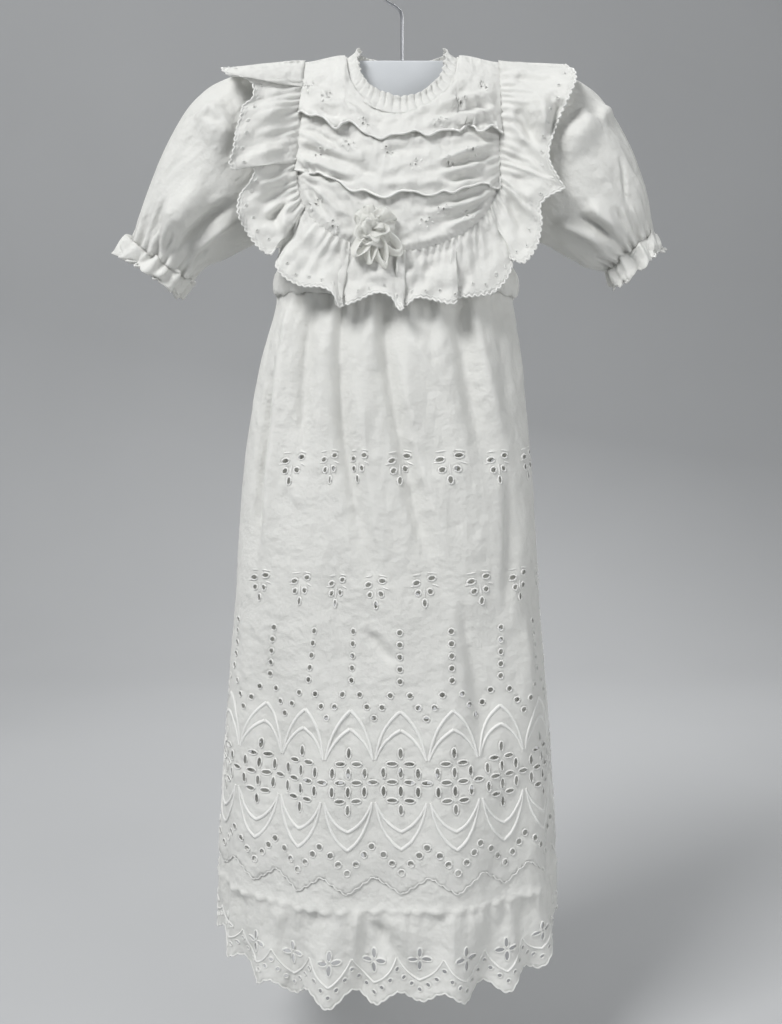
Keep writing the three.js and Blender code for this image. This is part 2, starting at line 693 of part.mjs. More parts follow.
// Grid columns of each repeat's middle, leaving out those cut by a side seam
function repeatColumns(count, phase, margin) {
  const middles = Array.from({ length: count + 2 }, (_, i) => (i - 1 + phase) * 4);
  return middles.filter((col) => col >= margin && col <= count * 4 - margin);
}

function skirtPanel(side) {
  const cols = REPEATS * 4;
  const phase = REPEATS / 2 - side * REPEAT_PHASE;
  const shareOf = (col) => col / cols * 2 - 1;
  const last = SKIRT_ROWS.length - 1;
  const windows = SPRIG_ROWS.flatMap(({ row, z, shift }) => (
    repeatColumns(REPEATS, (phase + shift) % 1, 1).map((col) => ({
      row,
      col: col - 1,
      down: 1,
      across: 2,
      holes: SPRIG.map((hole) => eyelet(shareOf(col), z, hole)),
    }))
  ));
  return shell({
    rows: last,
    cols,
    facing: vec(0, side, 0),
    windows,
    place: (spot) => skirtPoint(spot.x / FLAT_WIDTH, spot.y, side, 0),
    flat: (r, c) => {
      const zigzag = r === last ? ZIGZAG * Math.cos(2 * Math.PI * (c / 4 - phase)) : 0;
      return flatSpot(shareOf(c), SKIRT_ROWS[r] - zigzag);
    },
  });
}

function flouncePanel(side) {
  const cols = FLOWERS * 4;
  const phase = FLOWERS / 2 + side * FLOWER_PHASE;
  const under = CLOTH + 0.8; // room for the skirt's edge, which hangs over the flounce
  const shareOf = (col) => col / cols * 2 - 1;
  const last = FLOUNCE_ROWS.length - 1;
  const windows = repeatColumns(FLOWERS, (phase + 1) % 1, 1.5).map((col) => ({
    row: FLOWER_ROW,
    col: col - 1.5,
    down: 1,
    across: 3,
    holes: Array.from({ length: PETALS }, (_, i) => {
      const turn = 2 * Math.PI * i / PETALS;
      const across = -FLOWER_RADIUS * Math.sin(turn);
      const down = -FLOWER_RADIUS * Math.cos(turn);
      return eyelet(shareOf(col), FLOWER_Z, { across, down, ...PETAL }, turn);
    }),
  }));
  return shell({
    rows: last,
    cols,
    facing: vec(0, side, 0),
    windows,
    place: (spot) => skirtPoint(spot.x / FLAT_WIDTH, spot.y, side, -under * ease((spot.y - FLOUNCE_SEAM_Z) / 10)),
    flat: (r, c) => {
      const scallop = r === last ? SCALLOP * Math.cos(2 * Math.PI * (c / 4 - phase)) : 0;
      return flatSpot(shareOf(c), FLOUNCE_ROWS[r] - scallop);
    },
  });
}

// Rosette at the foot of the yoke: a wound bud in a ring of ribbon loops
const rosetteAt = bodicePoint(ROSETTE.x, ROSETTE.z, -1, ROSETTE.out);
const rosetteNormal = rosetteAt.clone().sub(bodicePoint(ROSETTE.x, ROSETTE.z, -1, 0)).normalize();

function rosetteFrame(turn) {
  const level = vec(-rosetteNormal.y, rosetteNormal.x, 0).normalize();
  const radial = level.applyAxisAngle(rosetteNormal, turn);
  const across = rosetteNormal.clone().cross(radial);
  return new THREE.Matrix4().makeBasis(radial, across, rosetteNormal.clone()).setPosition(rosetteAt);
}

function rosetteLoop({ turn, length, width }) {
  const shape = new THREE.Shape();
  const middle = LOOP_INNER + length / 2;
  const high = LOOP_HEIGHT / 2;
  shape.absellipse(middle, high, length / 2, high, 0, 2 * Math.PI);
  const hole = new THREE.Path();
  hole.absellipse(middle, high, length / 2 - RIBBON_WALL, high - RIBBON_WALL, 0, 2 * Math.PI);
  shape.holes.push(hole);
  const ribbon = new THREE.ExtrudeGeometry(shape, { depth: width, bevelEnabled: false, curveSegments: 5 });
  ribbon.translate(0, 0, -width / 2).rotateX(Math.PI / 2);
  return ribbon.applyMatrix4(rosetteFrame(THREE.MathUtils.degToRad(turn)));
}

function rosetteBud() {
  const profile = BUD.map(({ radius, rise }) => new THREE.Vector2(radius, rise));
  const closed = [new THREE.Vector2(0, BUD[0].rise), ...profile, new THREE.Vector2(0, BUD[3].rise + 0.8)];
  const bud = new THREE.LatheGeometry(closed, 10).rotateX(Math.PI / 2);
  return bud.applyMatrix4(rosetteFrame(0));
}

// Hanger: a flat bar with a straight top under the shoulders, deeper in the middle
function hangerTop(x) {
  const arm = shoulderZ(Math.max(Math.abs(x), HANGER_MIDDLE)) - HANGER_SINK;
  const fall = 12 * ease((Math.abs(x) - ARMHOLE_X + 8) / (HANGER_HALF - ARMHOLE_X));
  return Math.min(HANGER_TOP_Z, arm) - fall;
}

function hangerBody() {
  const steps = 18;
  const across = Array.from({ length: steps + 1 }, (_, i) => mix(-HANGER_HALF, HANGER_HALF, i / steps));
  const top = across.map((x) => [x, hangerTop(x)]);
  const foot = across.map((x) => {
    const deep = mix(HANGER_DEEP, HANGER_TIP_DEEP, ease(Math.abs(x) / (HANGER_HALF * 0.72)));
    return [x, hangerTop(x) - deep];
  });
  const shape = new THREE.Shape([...top, ...foot.reverse()].map(([x, z]) => new THREE.Vector2(x, z)));
  const bar = new THREE.ExtrudeGeometry(shape, { depth: HANGER_THICK, bevelEnabled: false });
  return bar.rotateX(Math.PI / 2).translate(0, HANGER_THICK / 2, 0);
}

// Hook: straight shank, a swing to the left and the crook over the rail
function hangerHook() {
  const top = WIRE / 2;
  const middleZ = top - CROOK_RADIUS;
  const path = new THREE.CurvePath();
  const bendZ = middleZ - SHANK_BEND;
  path.add(new THREE.LineCurve3(vec(0, 0, hangerTop(0) + SEAM_GAP), vec(0, 0, bendZ - 8)));
  path.add(new THREE.CubicBezierCurve3(
    vec(0, 0, bendZ - 8),
    vec(0, 0, bendZ + 6),
    vec(-CROOK_RADIUS, 0, middleZ - 12),
    vec(-CROOK_RADIUS, 0, middleZ),
  ));
  const arc = [];
  const arcSteps = 16;
  for (let i = 0; i <= arcSteps; i += 1) {
    const a = Math.PI - (Math.PI + CROOK_TIP) * i / arcSteps;
    arc.push(vec(CROOK_RADIUS * Math.cos(a), 0, middleZ + CROOK_RADIUS * Math.sin(a)));
  }
  path.add(new THREE.CatmullRomCurve3(arc));
  const round = new THREE.Shape();
  round.absarc(0, 0, WIRE / 2, 0, 2 * Math.PI);
  return new THREE.ExtrudeGeometry(round, { steps: 24, extrudePath: path, curveSegments: 3, bevelEnabled: false });
}

const COTTON = { color: 0xf1f1ec, roughness: 0.92, metalness: 0 };
const RIBBON = { color: 0xf4f4f1, roughness: 0.5, metalness: 0 };
const PEARL = { color: 0xf2f0ea, roughness: 0.3, metalness: 0 };
const PLASTIC = { color: 0xd5d8da, roughness: 0.45, metalness: 0 };
const STEEL = { color: 0xb9bcbf, roughness: 0.3, metalness: 1 };

const gown = new THREE.Group();
gown.name = "christening_gown";

function add(name, geometry, finish) {
  const mesh = new THREE.Mesh(geometry, new THREE.MeshStandardMaterial(finish));
  geometry.computeVertexNormals();
  mesh.name = name;
  gown.add(mesh);
}

add("hanger_body", hangerBody(), PLASTIC);
add("hanger_hook", hangerHook(), STEEL);
add("bodice_front", bodiceFront, COTTON);
add("bodice_back_left", bodiceBackLeft, COTTON);
add("bodice_back_right", bodiceBackRight, COTTON);
BUTTON_LEVELS.forEach((z, i) => add(`button_${i + 1}`, button(z), PEARL));
add("collar", collar, COTTON);
TIERS.forEach((_, k) => add(`yoke_tier_${k + 1}`, yokeTier(k), COTTON));
add("ruffle", ruffle, COTTON);
add("rosette_bud", rosetteBud(), RIBBON);
LOOPS.forEach((loop, i) => add(`rosette_loop_${i + 1}`, rosetteLoop(loop), RIBBON));
add("sleeve_left", sleeve(-1), COTTON);
add("sleeve_right", sleeve(1), COTTON);
add("cuff_frill_left", cuffFrill(-1), COTTON);
add("cuff_frill_right", cuffFrill(1), COTTON);
add("skirt_front", skirtPanel(-1), COTTON);
add("skirt_back", skirtPanel(1), COTTON);
add("flounce_front", flouncePanel(-1), COTTON);
add("flounce_back", flouncePanel(1), COTTON);

export default gown;
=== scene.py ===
import json
import math

import bpy
import numpy as np
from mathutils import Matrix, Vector, geometry, kdtree

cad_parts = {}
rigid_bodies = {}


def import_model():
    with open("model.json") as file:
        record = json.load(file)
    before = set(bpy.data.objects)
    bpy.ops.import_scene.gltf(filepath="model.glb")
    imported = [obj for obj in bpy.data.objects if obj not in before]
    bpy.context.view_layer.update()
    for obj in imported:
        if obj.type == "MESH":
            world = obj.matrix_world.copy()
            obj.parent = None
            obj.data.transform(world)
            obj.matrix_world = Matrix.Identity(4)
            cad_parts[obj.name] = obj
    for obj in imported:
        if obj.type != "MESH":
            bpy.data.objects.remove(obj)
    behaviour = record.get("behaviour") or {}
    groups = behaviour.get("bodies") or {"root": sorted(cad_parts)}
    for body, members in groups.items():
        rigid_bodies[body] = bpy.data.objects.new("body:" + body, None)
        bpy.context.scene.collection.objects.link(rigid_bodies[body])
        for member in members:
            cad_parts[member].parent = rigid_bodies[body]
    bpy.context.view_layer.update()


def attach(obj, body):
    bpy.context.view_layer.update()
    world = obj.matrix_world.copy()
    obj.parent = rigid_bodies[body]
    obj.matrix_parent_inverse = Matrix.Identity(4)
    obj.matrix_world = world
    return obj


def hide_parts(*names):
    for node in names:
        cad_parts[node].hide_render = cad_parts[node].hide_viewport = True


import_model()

MM = 0.001  # the sizes below are millimetres, as on a paper pattern


# Hanger: a flat bar of white moulded plastic with rounded edges, deeper in the middle, painted pale
# blue-grey for the shade it lies in.
# It lies inside the shoulders and carries them, and its straight top edge shows in the neck.
SHOULDER_Z = -70
NECK_HALF = 48
ARMHOLE = 88  # from the middle to the shoulder's end
HANGER_HALF = 128
HANGER_DEEP = (40, 13)  # at the middle and towards the ends
HANGER_THICK = 4.4
HANGER_ROUND = 1.3


def ease(t):
    t = np.clip(t, 0, 1)
    return t * t * (3 - 2 * t)


def mix(a, b, t):
    return a + (b - a) * t


def shoulder_z(x):
    return SHOULDER_Z - 6 * ease((np.abs(x) - NECK_HALF) / (ARMHOLE - NECK_HALF))


def hanger_top(x):
    arm = shoulder_z(np.maximum(np.abs(x), 42)) - 3.2
    return arm - 12 * ease((np.abs(x) - 80) / 40)


def grid_faces(rows, cols, ring=False):
    """Quads between rows + 1 lines of points, each of cols + 1 points, or of cols where it closes."""
    wide = cols if ring else cols + 1
    r, c = np.meshgrid(np.arange(rows), np.arange(cols), indexing="ij")
    a, b = r * wide + c, r * wide + (c + 1) % wide
    return np.stack([a, b, b + wide, a + wide], -1).reshape(-1, 4)


def add_piece(name, points, faces, finish):
    mesh = bpy.data.meshes.new(name)
    mesh.from_pydata((np.asarray(points) * MM).tolist(), [], [list(map(int, f)) for f in faces])
    mesh.shade_smooth()
    mesh.materials.append(finish.material)
    piece = bpy.data.objects.new(name, mesh)
    bpy.context.scene.collection.objects.link(piece)
    return piece


class Value:
    """One output of a node. Sums on it add Math nodes."""

    def __init__(self, nodes, socket):
        self.nodes, self.socket = nodes, socket

    def sum(self, operation, *parts):
        return self.nodes.node("ShaderNodeMath", {"operation": operation}, dict(enumerate(parts)))

    def __add__(self, other):
        return self.sum("ADD", self, other)

    def __mul__(self, other):
        return self.sum("MULTIPLY", self, other)

    def sine(self):
        return self.sum("SINE", self)

    __radd__ = __add__
    __rmul__ = __mul__


class Nodes:
    """A node tree, for a finish or for a shape that repeats or follows a path."""

    def __init__(self, tree):
        self.tree = tree

    def fill(self, made, sockets):
        for name, value in sockets.items():
            if isinstance(value, Value):
                self.tree.links.new(value.socket, made.inputs[name])
            else:
                made.inputs[name].default_value = value

    def node(self, kind, settings={}, sockets={}, output=0):
        made = self.tree.nodes.new(kind)
        for name, value in settings.items():
            setattr(made, name, value)
        self.fill(made, sockets)
        return Value(self, made.outputs[output])


class Finish(Nodes):
    """A material with one principled shader."""

    def __init__(self, name):
        self.material = bpy.data.materials.new(name)
        self.material.use_nodes = True
        super().__init__(self.material.node_tree)

    def shade(self, sockets):
        self.fill(self.tree.nodes["Principled BSDF"], sockets)

    def thin(self, share, colour):
        """Lets some light through, as thin cloth does."""
        glow = self.node("ShaderNodeBsdfTranslucent", {}, {"Color": (*colour, 1)})
        face = Value(self, self.tree.nodes["Principled BSDF"].outputs[0])
        both = self.node("ShaderNodeMixShader", {}, {0: share, 1: face, 2: glow})
        self.tree.links.new(both.socket, self.tree.nodes["Material Output"].inputs[0])

    def noise(self, scale, detail=2.0, vector=None, **settings):
        sockets = {"Scale": scale, "Detail": detail}
        sockets["Vector"] = vector or self.node("ShaderNodeTexCoord", output="Object")
        return self.node("ShaderNodeTexNoise", settings, sockets)

    def tint(self, pale, deep, factor):
        colours = {0: factor, 6: (*deep, 1), 7: (*pale, 1)}
        return self.node("ShaderNodeMix", {"data_type": "RGBA"}, colours, output=2)

    def bump(self, height, distance, strength=1.0, under=None):
        sockets = {"Height": height, "Distance": distance, "Strength": strength}
        if under:
            sockets["Normal"] = under
        return self.node("ShaderNodeBump", {}, sockets)


def hanger_finish():
    finish = Finish("pale_grey_plastic")
    cloud = finish.noise(30)
    speck = finish.noise(900)
    # Painted shade: the white plastic gets the pale blue-grey it shows in the shade inside the neck; the
    # cloud noise is random mottling.
    finish.shade({
        "Base Color": finish.tint((0.60, 0.62, 0.64), (0.52, 0.54, 0.56), cloud),
        "Roughness": 0.38 + 0.12 * speck,
        "Normal": finish.bump(speck, 0.00008),
    })
    return finish


def hanger_body():
    near = np.linspace(-1, 1, 81)
    stations = np.concatenate([[-1.0], near * 0.991, [1.0]]) * HANGER_HALF
    corner = np.radians(np.arange(0, 91, 22.5))
    points = []
    for i, x in enumerate(stations):
        end = 0.45 if i in (0, len(stations) - 1) else 1
        top = hanger_top(x)
        deep = mix(*HANGER_DEEP, ease(abs(x) / (HANGER_HALF * 0.72)))
        half_y = HANGER_THICK / 2 * end
        half_z = deep / 2 - (1 - end) * 2.4
        round_ = HANGER_ROUND * end
        for k in range(4):
            turn = k * math.pi / 2
            side_y = 1 if k in (0, 3) else -1
            side_z = 1 if k in (0, 1) else -1
            for a in corner:
                y = side_y * (half_y - round_) + round_ * math.cos(turn + a)
                z = side_z * (half_z - round_) + round_ * math.sin(turn + a)
                points.append((x, y, top - deep / 2 + z))
    wide = 4 * len(corner)
    faces = [f[::-1] for f in grid_faces(len(stations) - 1, wide, ring=True)]
    last = (len(stations) - 1) * wide
    faces += [list(range(wide)), [last + wide - 1 - i for i in range(wide)]]
    return add_piece("hanger", points, faces, hanger_finish())


hanger = hanger_body()
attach(hanger, "root")
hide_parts("hanger_body")


# Hook: bright drawn wire set in the hanger's top edge, bent to the left and round into a crook.
# Its end is cut and rounded off, and the rail lies under the top of the crook.
WIRE = 2.6
CROOK = 17


class Maker(Nodes):
    """A geometry node tree with named sizes. `made` turns a piece that carries it into a plain mesh."""

    def __init__(self, name, sizes):
        super().__init__(bpy.data.node_groups.new(name, "GeometryNodeTree"))
        kinds = {float: "NodeSocketFloat", int: "NodeSocketInt", type(None): "NodeSocketMaterial"}
        interface = self.tree.interface
        interface.new_socket("Path", in_out="INPUT", socket_type="NodeSocketGeometry")
        self.ids = {}
        for size, value in sizes.items():
            socket = interface.new_socket(size, in_out="INPUT", socket_type=kinds[type(value)])
            if value is not None:
                socket.default_value = value
            self.ids[size] = socket.identifier
        interface.new_socket("Piece", in_out="OUTPUT", socket_type="NodeSocketGeometry")
        self.start = self.tree.nodes.new("NodeGroupInput")

    def size(self, name):
        return Value(self, self.start.outputs[name])

    def finish(self, shape, material):
        real = self.node("GeometryNodeRealizeInstances", {}, {0: shape})
        dressed = self.node("GeometryNodeSetMaterial", {}, {0: real, "Material": material})
        end = self.tree.nodes.new("NodeGroupOutput")
        self.tree.links.new(dressed.socket, end.inputs[0])

    def made(self, name, paths, values):
        """Plain mesh piece along `paths`: points, whether each closes, and how thick it is there."""
        points, edges, thick = [], [], []
        for line, closed, size in paths:
            first, count = len(points), len(line)
            points += (np.asarray(line) * MM).tolist()
            edges += [(first + i, first + (i + 1) % count) for i in range(count - (not closed))]
            thick += np.broadcast_to(size, count).tolist()
        mesh = bpy.data.meshes.new(name + "_path")
        mesh.from_pydata(points, edges, [])
        mesh.attributes.new("thick", "FLOAT", "POINT").data.foreach_set("value", thick)
        piece = bpy.data.objects.new(name, mesh)
        bpy.context.scene.collection.objects.link(piece)
        modifier = piece.modifiers.new("make", "NODES")
        modifier.node_group = self.tree
        for size, value in values.items():
            modifier[self.ids[size]] = value
        seen = piece.evaluated_get(bpy.context.evaluated_depsgraph_get())
        solid = bpy.data.meshes.new_from_object(seen)
        piece.modifiers.clear()
        piece.data = solid
        bpy.data.meshes.remove(mesh)
        solid.name = name
        return piece


def cord_maker():
    """Round cord along each path, as thick as the path says, with its length kept as `along`."""
    maker = Maker("round_cord", {"Width": 0.001, "Sides": 6, "Finish": None})
    curve = maker.node("GeometryNodeMeshToCurve", {}, {0: maker.size("Path")})
    thick = maker.node("GeometryNodeInputNamedAttribute", {"data_type": "FLOAT"}, {"Name": "thick"})
    length = maker.node("GeometryNodeSplineParameter", output="Length")
    curve = maker.node(
        "GeometryNodeStoreNamedAttribute",
        {"data_type": "FLOAT", "domain": "POINT"},
        {0: curve, "Name": "along", "Value": length},
    )
    ring = maker.node(
        "GeometryNodeCurvePrimitiveCircle",
        {"mode": "RADIUS"},
        {"Resolution": maker.size("Sides"), "Radius": 0.5 * maker.size("Width")},
    )
    tube = maker.node("GeometryNodeCurveToMesh", {}, {0: curve, 1: ring, "Scale": thick, "Fill Caps": True})
    tube = maker.node("GeometryNodeSetShadeSmooth", {}, {0: tube, "Shade Smooth": True})
    maker.finish(tube, maker.size("Finish"))
    return maker


def steel_finish():
    finish = Finish("drawn_steel_wire")
    draw = finish.noise(700, 3.0)
    finish.shade({
        "Base Color": finish.tint((0.66, 0.67, 0.69), (0.50, 0.51, 0.53), draw),
        "Metallic": 1.0,
        "Roughness": 0.22 + 0.16 * draw,
        "Normal": finish.bump(draw, 0.00004),
    })
    return finish


def hook_path():
    middle = WIRE / 2 - CROOK
    foot = middle - 22
    shank = [(0, 0, z) for z in np.linspace(hanger_top(0) + 0.3, foot, 12)]
    t = np.linspace(0, 1, 14)[1:, None]
    corners = np.array([(0, 0, foot), (0, 0, foot + 14), (-CROOK, 0, middle - 12), (-CROOK, 0, middle)])
    weights = np.hstack([(1 - t) ** 3, 3 * t * (1 - t) ** 2, 3 * t * t * (1 - t), t ** 3])
    swing = (weights @ corners).tolist()
    turn = np.linspace(math.pi, -0.35, 30)[1:]
    crook = [(CROOK * math.cos(a), 0, middle + CROOK * math.sin(a)) for a in turn]
    return np.array(shank + swing + crook)


CORD = cord_maker()
line = hook_path()
rounded = np.ones(len(line))
rounded[-2:] = (0.9, 0.45)
hook = CORD.made("hook", [(line, False, rounded)],
                 {"Width": WIRE * MM, "Sides": 14, "Finish": steel_finish().material})
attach(hook, "root")
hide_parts("hanger_hook")


# Bodice: one front and two backs of plain white cotton lawn, sewn at shoulders and sides.
# The front is mostly under the yoke and the ruffle; the left back laps over the right one.
ROUND = 2.3  # roundness of the gown's cross-sections, 2 would be an ellipse
CLOTH = 0.7  # thickness
SIDE_GAP = 0.35  # between front and back at the side seams
WAIST = -275
BODICE_HALF = 105
GOWN_HALF = 148  # half the gown's mean width
WAIST_PUFF, WAIST_DROP = 4.6, 7.5  # how far the cloth rolls out and down over the waist seam
PLACKET = 8  # half the lap at the centre back
BODICE_LONG = 214
UNDERARM = -222
NECK_Z = -72
NECK_DROP = {-1: 52, 1: 16}  # front and back
THREAD = 0.00042  # pitch of the weave, in metres


def smooth(keys, values):
    """Smooth curve through a short table."""
    order = np.argsort(keys)
    k, v = np.asarray(keys, float)[order], np.asarray(values, float)[order]
    low, high = np.maximum(np.arange(len(k)) - 1, 0), np.minimum(np.arange(len(k)) + 1, len(k) - 1)
    slope = (v[high] - v[low]) / (k[high] - k[low])

    def at(x):
        i = np.clip(np.searchsorted(k, x) - 1, 0, len(k) - 2)
        step = k[i + 1] - k[i]
        t = np.clip((x - k[i]) / step, 0, 1)
        bend = t * (1 - t) ** 2 * step * slope[i] + t * t * (t - 1) * step * slope[i + 1]
        return mix(v[i], v[i + 1], ease(t)) + bend

    return at


centre = smooth((NECK_Z, -200, -284, -407, -520, -900), (0, -4, -6.5, -12, -13, -12.5))
BODICE_DROPS = (0, 2.5, 9, 22, 50, 95, 150, 190, BODICE_LONG)
bodice_depth = {
    -1: smooth(BODICE_DROPS, (0.9, 6.5, 12, 20, 33, 47, 57, 57, 54)),
    1: smooth(BODICE_DROPS, (0.9, 5.5, 9.5, 15, 24, 33, 39, 41, 40)),
}


def oval_sin(a):
    return np.sign(np.sin(a)) * np.abs(np.sin(a)) ** (2 / ROUND)


def oval_cos(a):
    return np.abs(np.cos(a)) ** (2 / ROUND)


def oval_angle(across):
    return np.sign(across) * np.arcsin(np.minimum(np.abs(across), 1) ** (ROUND / 2))


def bodice_y(x, z, side):
    top = shoulder_z(x)
    drop = (top - z) / (top - WAIST) * BODICE_LONG
    edge = np.maximum(0, 1 - np.abs(x / BODICE_HALF) ** ROUND) ** (1 / ROUND)
    return side * bodice_depth[side](drop) * edge


def bodice_point(x, z, side, out):
    """Points of the bodice at x from its centre line, moved outward."""
    x, z = np.broadcast_arrays(np.asarray(x, float), np.asarray(z, float))
    slope_x = bodice_y(x + 0.5, z, side) - bodice_y(x - 0.5, z, side)
    slope_z = bodice_y(x, z + 0.5, side) - bodice_y(x, z - 0.5, side)
    normal = np.stack([-slope_x, np.ones_like(x), -slope_z], -1) * side
    normal /= np.linalg.norm(normal, axis=-1, keepdims=True)
    spot = np.stack([centre(z) + x, bodice_y(x, z, side), z], -1)
    return spot + normal * np.asarray(out)[..., None]


def shares(depth):
    """Share of the cloth from one side seam to the other at even turns of the gown's oval."""
    a = np.linspace(-math.pi / 2, math.pi / 2, 181)
    spots = np.stack([GOWN_HALF * oval_sin(a), depth * oval_cos(a)], 1)
    length = np.concatenate([[0], np.cumsum(np.linalg.norm(np.diff(spots, axis=0), axis=1))])
    return a, 2 * length / length[-1] - 1


SHARES = {-1: shares(101), 1: shares(83)}


def armhole_x(z):
    return mix(ARMHOLE, BODICE_HALF, np.clip((UNDERARM + 44 - z) / 44, 0, 1) ** 2)


def crumple(u, v, seed):
    """Soft random height from -1 to 1 over flat cloth, one hump to about each unit."""
    heights = np.random.default_rng(seed).uniform(-1, 1, (64, 64))
    u, v = 0.8 * u + 0.6 * v, 0.8 * v - 0.6 * u
    i, j = np.floor(u).astype(int), np.floor(v).astype(int)
    s, t = ease(u - i), ease(v - j)
    low = mix(heights[i % 64, j % 64], heights[(i + 1) % 64, j % 64], s)
    high = mix(heights[i % 64, (j + 1) % 64], heights[(i + 1) % 64, (j + 1) % 64], s)
    return mix(low, high, t)


def around(a, many, seed, down=0.0):
    """Soft random height round a closed ring, about six humps to each of `many`."""
    return crumple((many + down) * np.cos(a), (many + down) * np.sin(a), seed)


def waist_gather(share, away, side):
    """Small uneven pleats at the waist seam, fading with the way from it."""
    wander = 2.2 * crumple(share * 4, 0 * share, 90 + side)
    broad = 2.6 * np.exp(-away / 60) * np.cos(9 * math.pi * (share + 1) + wander)
    return broad + 1.5 * np.exp(-away / 36) * np.cos(20 * math.pi * (share + 1) + 2 * wander)


def inside(ring, spots):
    """Whether flat spots lie inside a closed ring of points."""
    within = np.zeros(len(spots), bool)
    x, y = spots[:, 0], spots[:, 1]
    for (x0, y0), (x1, y1) in zip(ring, np.roll(ring, -1, 0)):
        if y0 != y1:
            crosses = (y0 > y) != (y1 > y)
            within ^= crosses & (x < (x1 - x0) * (y - y0) / (y1 - y0) + x0)
    return within


def cut_cloth(outline, holes, pitch):
    """Flat piece of cloth with its eyelets cut out: flat points and triangles."""
    rings = [np.asarray(outline, float)] + [np.asarray(hole, float) for hole in holes]
    edge = np.concatenate(rings)
    low, high = rings[0].min(0), rings[0].max(0)
    rows = np.arange(low[1] + 0.4 * pitch, high[1], 0.87 * pitch)
    across = np.arange(low[0], high[0], pitch)
    spots = np.array([(x + 0.5 * pitch * (i % 2), y) for i, y in enumerate(rows) for x in across])
    spots = spots[inside(rings[0], spots)]
    tree = kdtree.KDTree(len(edge))
    for i, (x, y) in enumerate(edge):
        tree.insert((x, y, 0), i)
    tree.balance()
    clear = np.array([tree.find((x, y, 0))[2] > 0.5 * pitch for x, y in spots])
    for ring in rings[1:]:
        middle = ring.mean(0)
        reach = np.abs(ring - middle).max(0)
        near = (np.abs(spots - middle) < reach).all(1)
        clear &= ~near
    spots = spots[clear]
    owner = np.concatenate([np.full(len(ring), i) for i, ring in enumerate(rings)])
    owner = np.concatenate([owner, np.full(len(spots), -1)])
    edges, first = [], 0
    for ring in rings:
        count = len(ring)
        edges += [(first + i, first + (i + 1) % count) for i in range(count)]
        first += count
    everything = [Vector(p) for p in np.concatenate([edge, spots])]
    points, _, faces, origin, _, _ = geometry.delaunay_2d_cdt(everything, edges, [], 0, 1e-5)
    flat = np.array([p[:] for p in points])
    owner = np.array([owner[o[0]] if o else -1 for o in origin])
    faces = np.array(faces)
    who = owner[faces]
    same = (who[:, 0] == who[:, 1]) & (who[:, 1] == who[:, 2])
    gone = same & (who[:, 0] > 0)
    rim = np.flatnonzero(same & (who[:, 0] == 0))
    gone[rim] = ~inside(rings[0], flat[faces[rim]].mean(1))
    return flat, faces[~gone]


def sew(name, flat, faces, points, finish, within, thick=CLOTH):
    """Thin two-sided cloth on the given points. `within` is a point behind the cloth."""
    faces = np.asarray(faces)
    if faces.shape[1] == 4:
        faces = np.concatenate([faces[:, [0, 1, 2]], faces[:, [0, 2, 3]]])
    corners = points[faces]
    normals = np.cross(corners[:, 1] - corners[:, 0], corners[:, 2] - corners[:, 0])
    if np.sum(normals * (corners.mean(1) - np.asarray(within))) < 0:
        faces, normals = faces[:, ::-1], -normals
    out = np.zeros_like(points)
    for i in range(3):
        np.add.at(out, faces[:, i], normals)
    out /= np.linalg.norm(out, axis=1, keepdims=True) + 1e-12
    edges = np.concatenate([faces[:, [0, 1]], faces[:, [1, 2]], faces[:, [2, 0]]])
    back = len(points)
    pair = np.sort(edges, 1) @ (back, 1)
    _, first, count = np.unique(pair, return_index=True, return_counts=True)
    rim = edges[first[count == 1]]
    walls = np.stack([rim[:, 1], rim[:, 0], rim[:, 0] + back, rim[:, 1] + back], 1)
    shell = np.concatenate([points, points - thick * out])
    sides = faces.tolist() + (faces[:, ::-1] + back).tolist() + walls.tolist()
    piece = add_piece(name, shell, sides, finish)
    mesh = piece.data
    corner = np.empty(len(mesh.loops), int)
    mesh.loops.foreach_get("vertex_index", corner)
    layer = mesh.uv_layers.new(name="flat")
    layer.data.foreach_set("uv", (flat[corner % back] * MM).ravel())
    return piece


def sew_grid(name, u, v, points, finish, within=None, thick=CLOTH, ring=False):
    """Cloth on a grid of points, with its flat measures along and across."""
    rows, cols = points.shape[0] - 1, points.shape[1] - (not ring)
    flat = np.stack(np.broadcast_arrays(u, v), -1).reshape(-1, 2)
    points = points.reshape(-1, 3)
    within = points.mean(0) if within is None else within
    return sew(name, flat, grid_faces(rows, cols, ring), points, finish, within, thick)


def strip_outline(left, right, top, count, edge_u, edge_v, side_v):
    """Outline of a strip: along its top to the left, down, along its free edge and up again."""
    outline = [(u, top) for u in np.linspace(right, left, count)] + [(left, v) for v in side_v]
    return np.array(outline + list(zip(edge_u, edge_v)) + [(right, v) for v in side_v[::-1]])


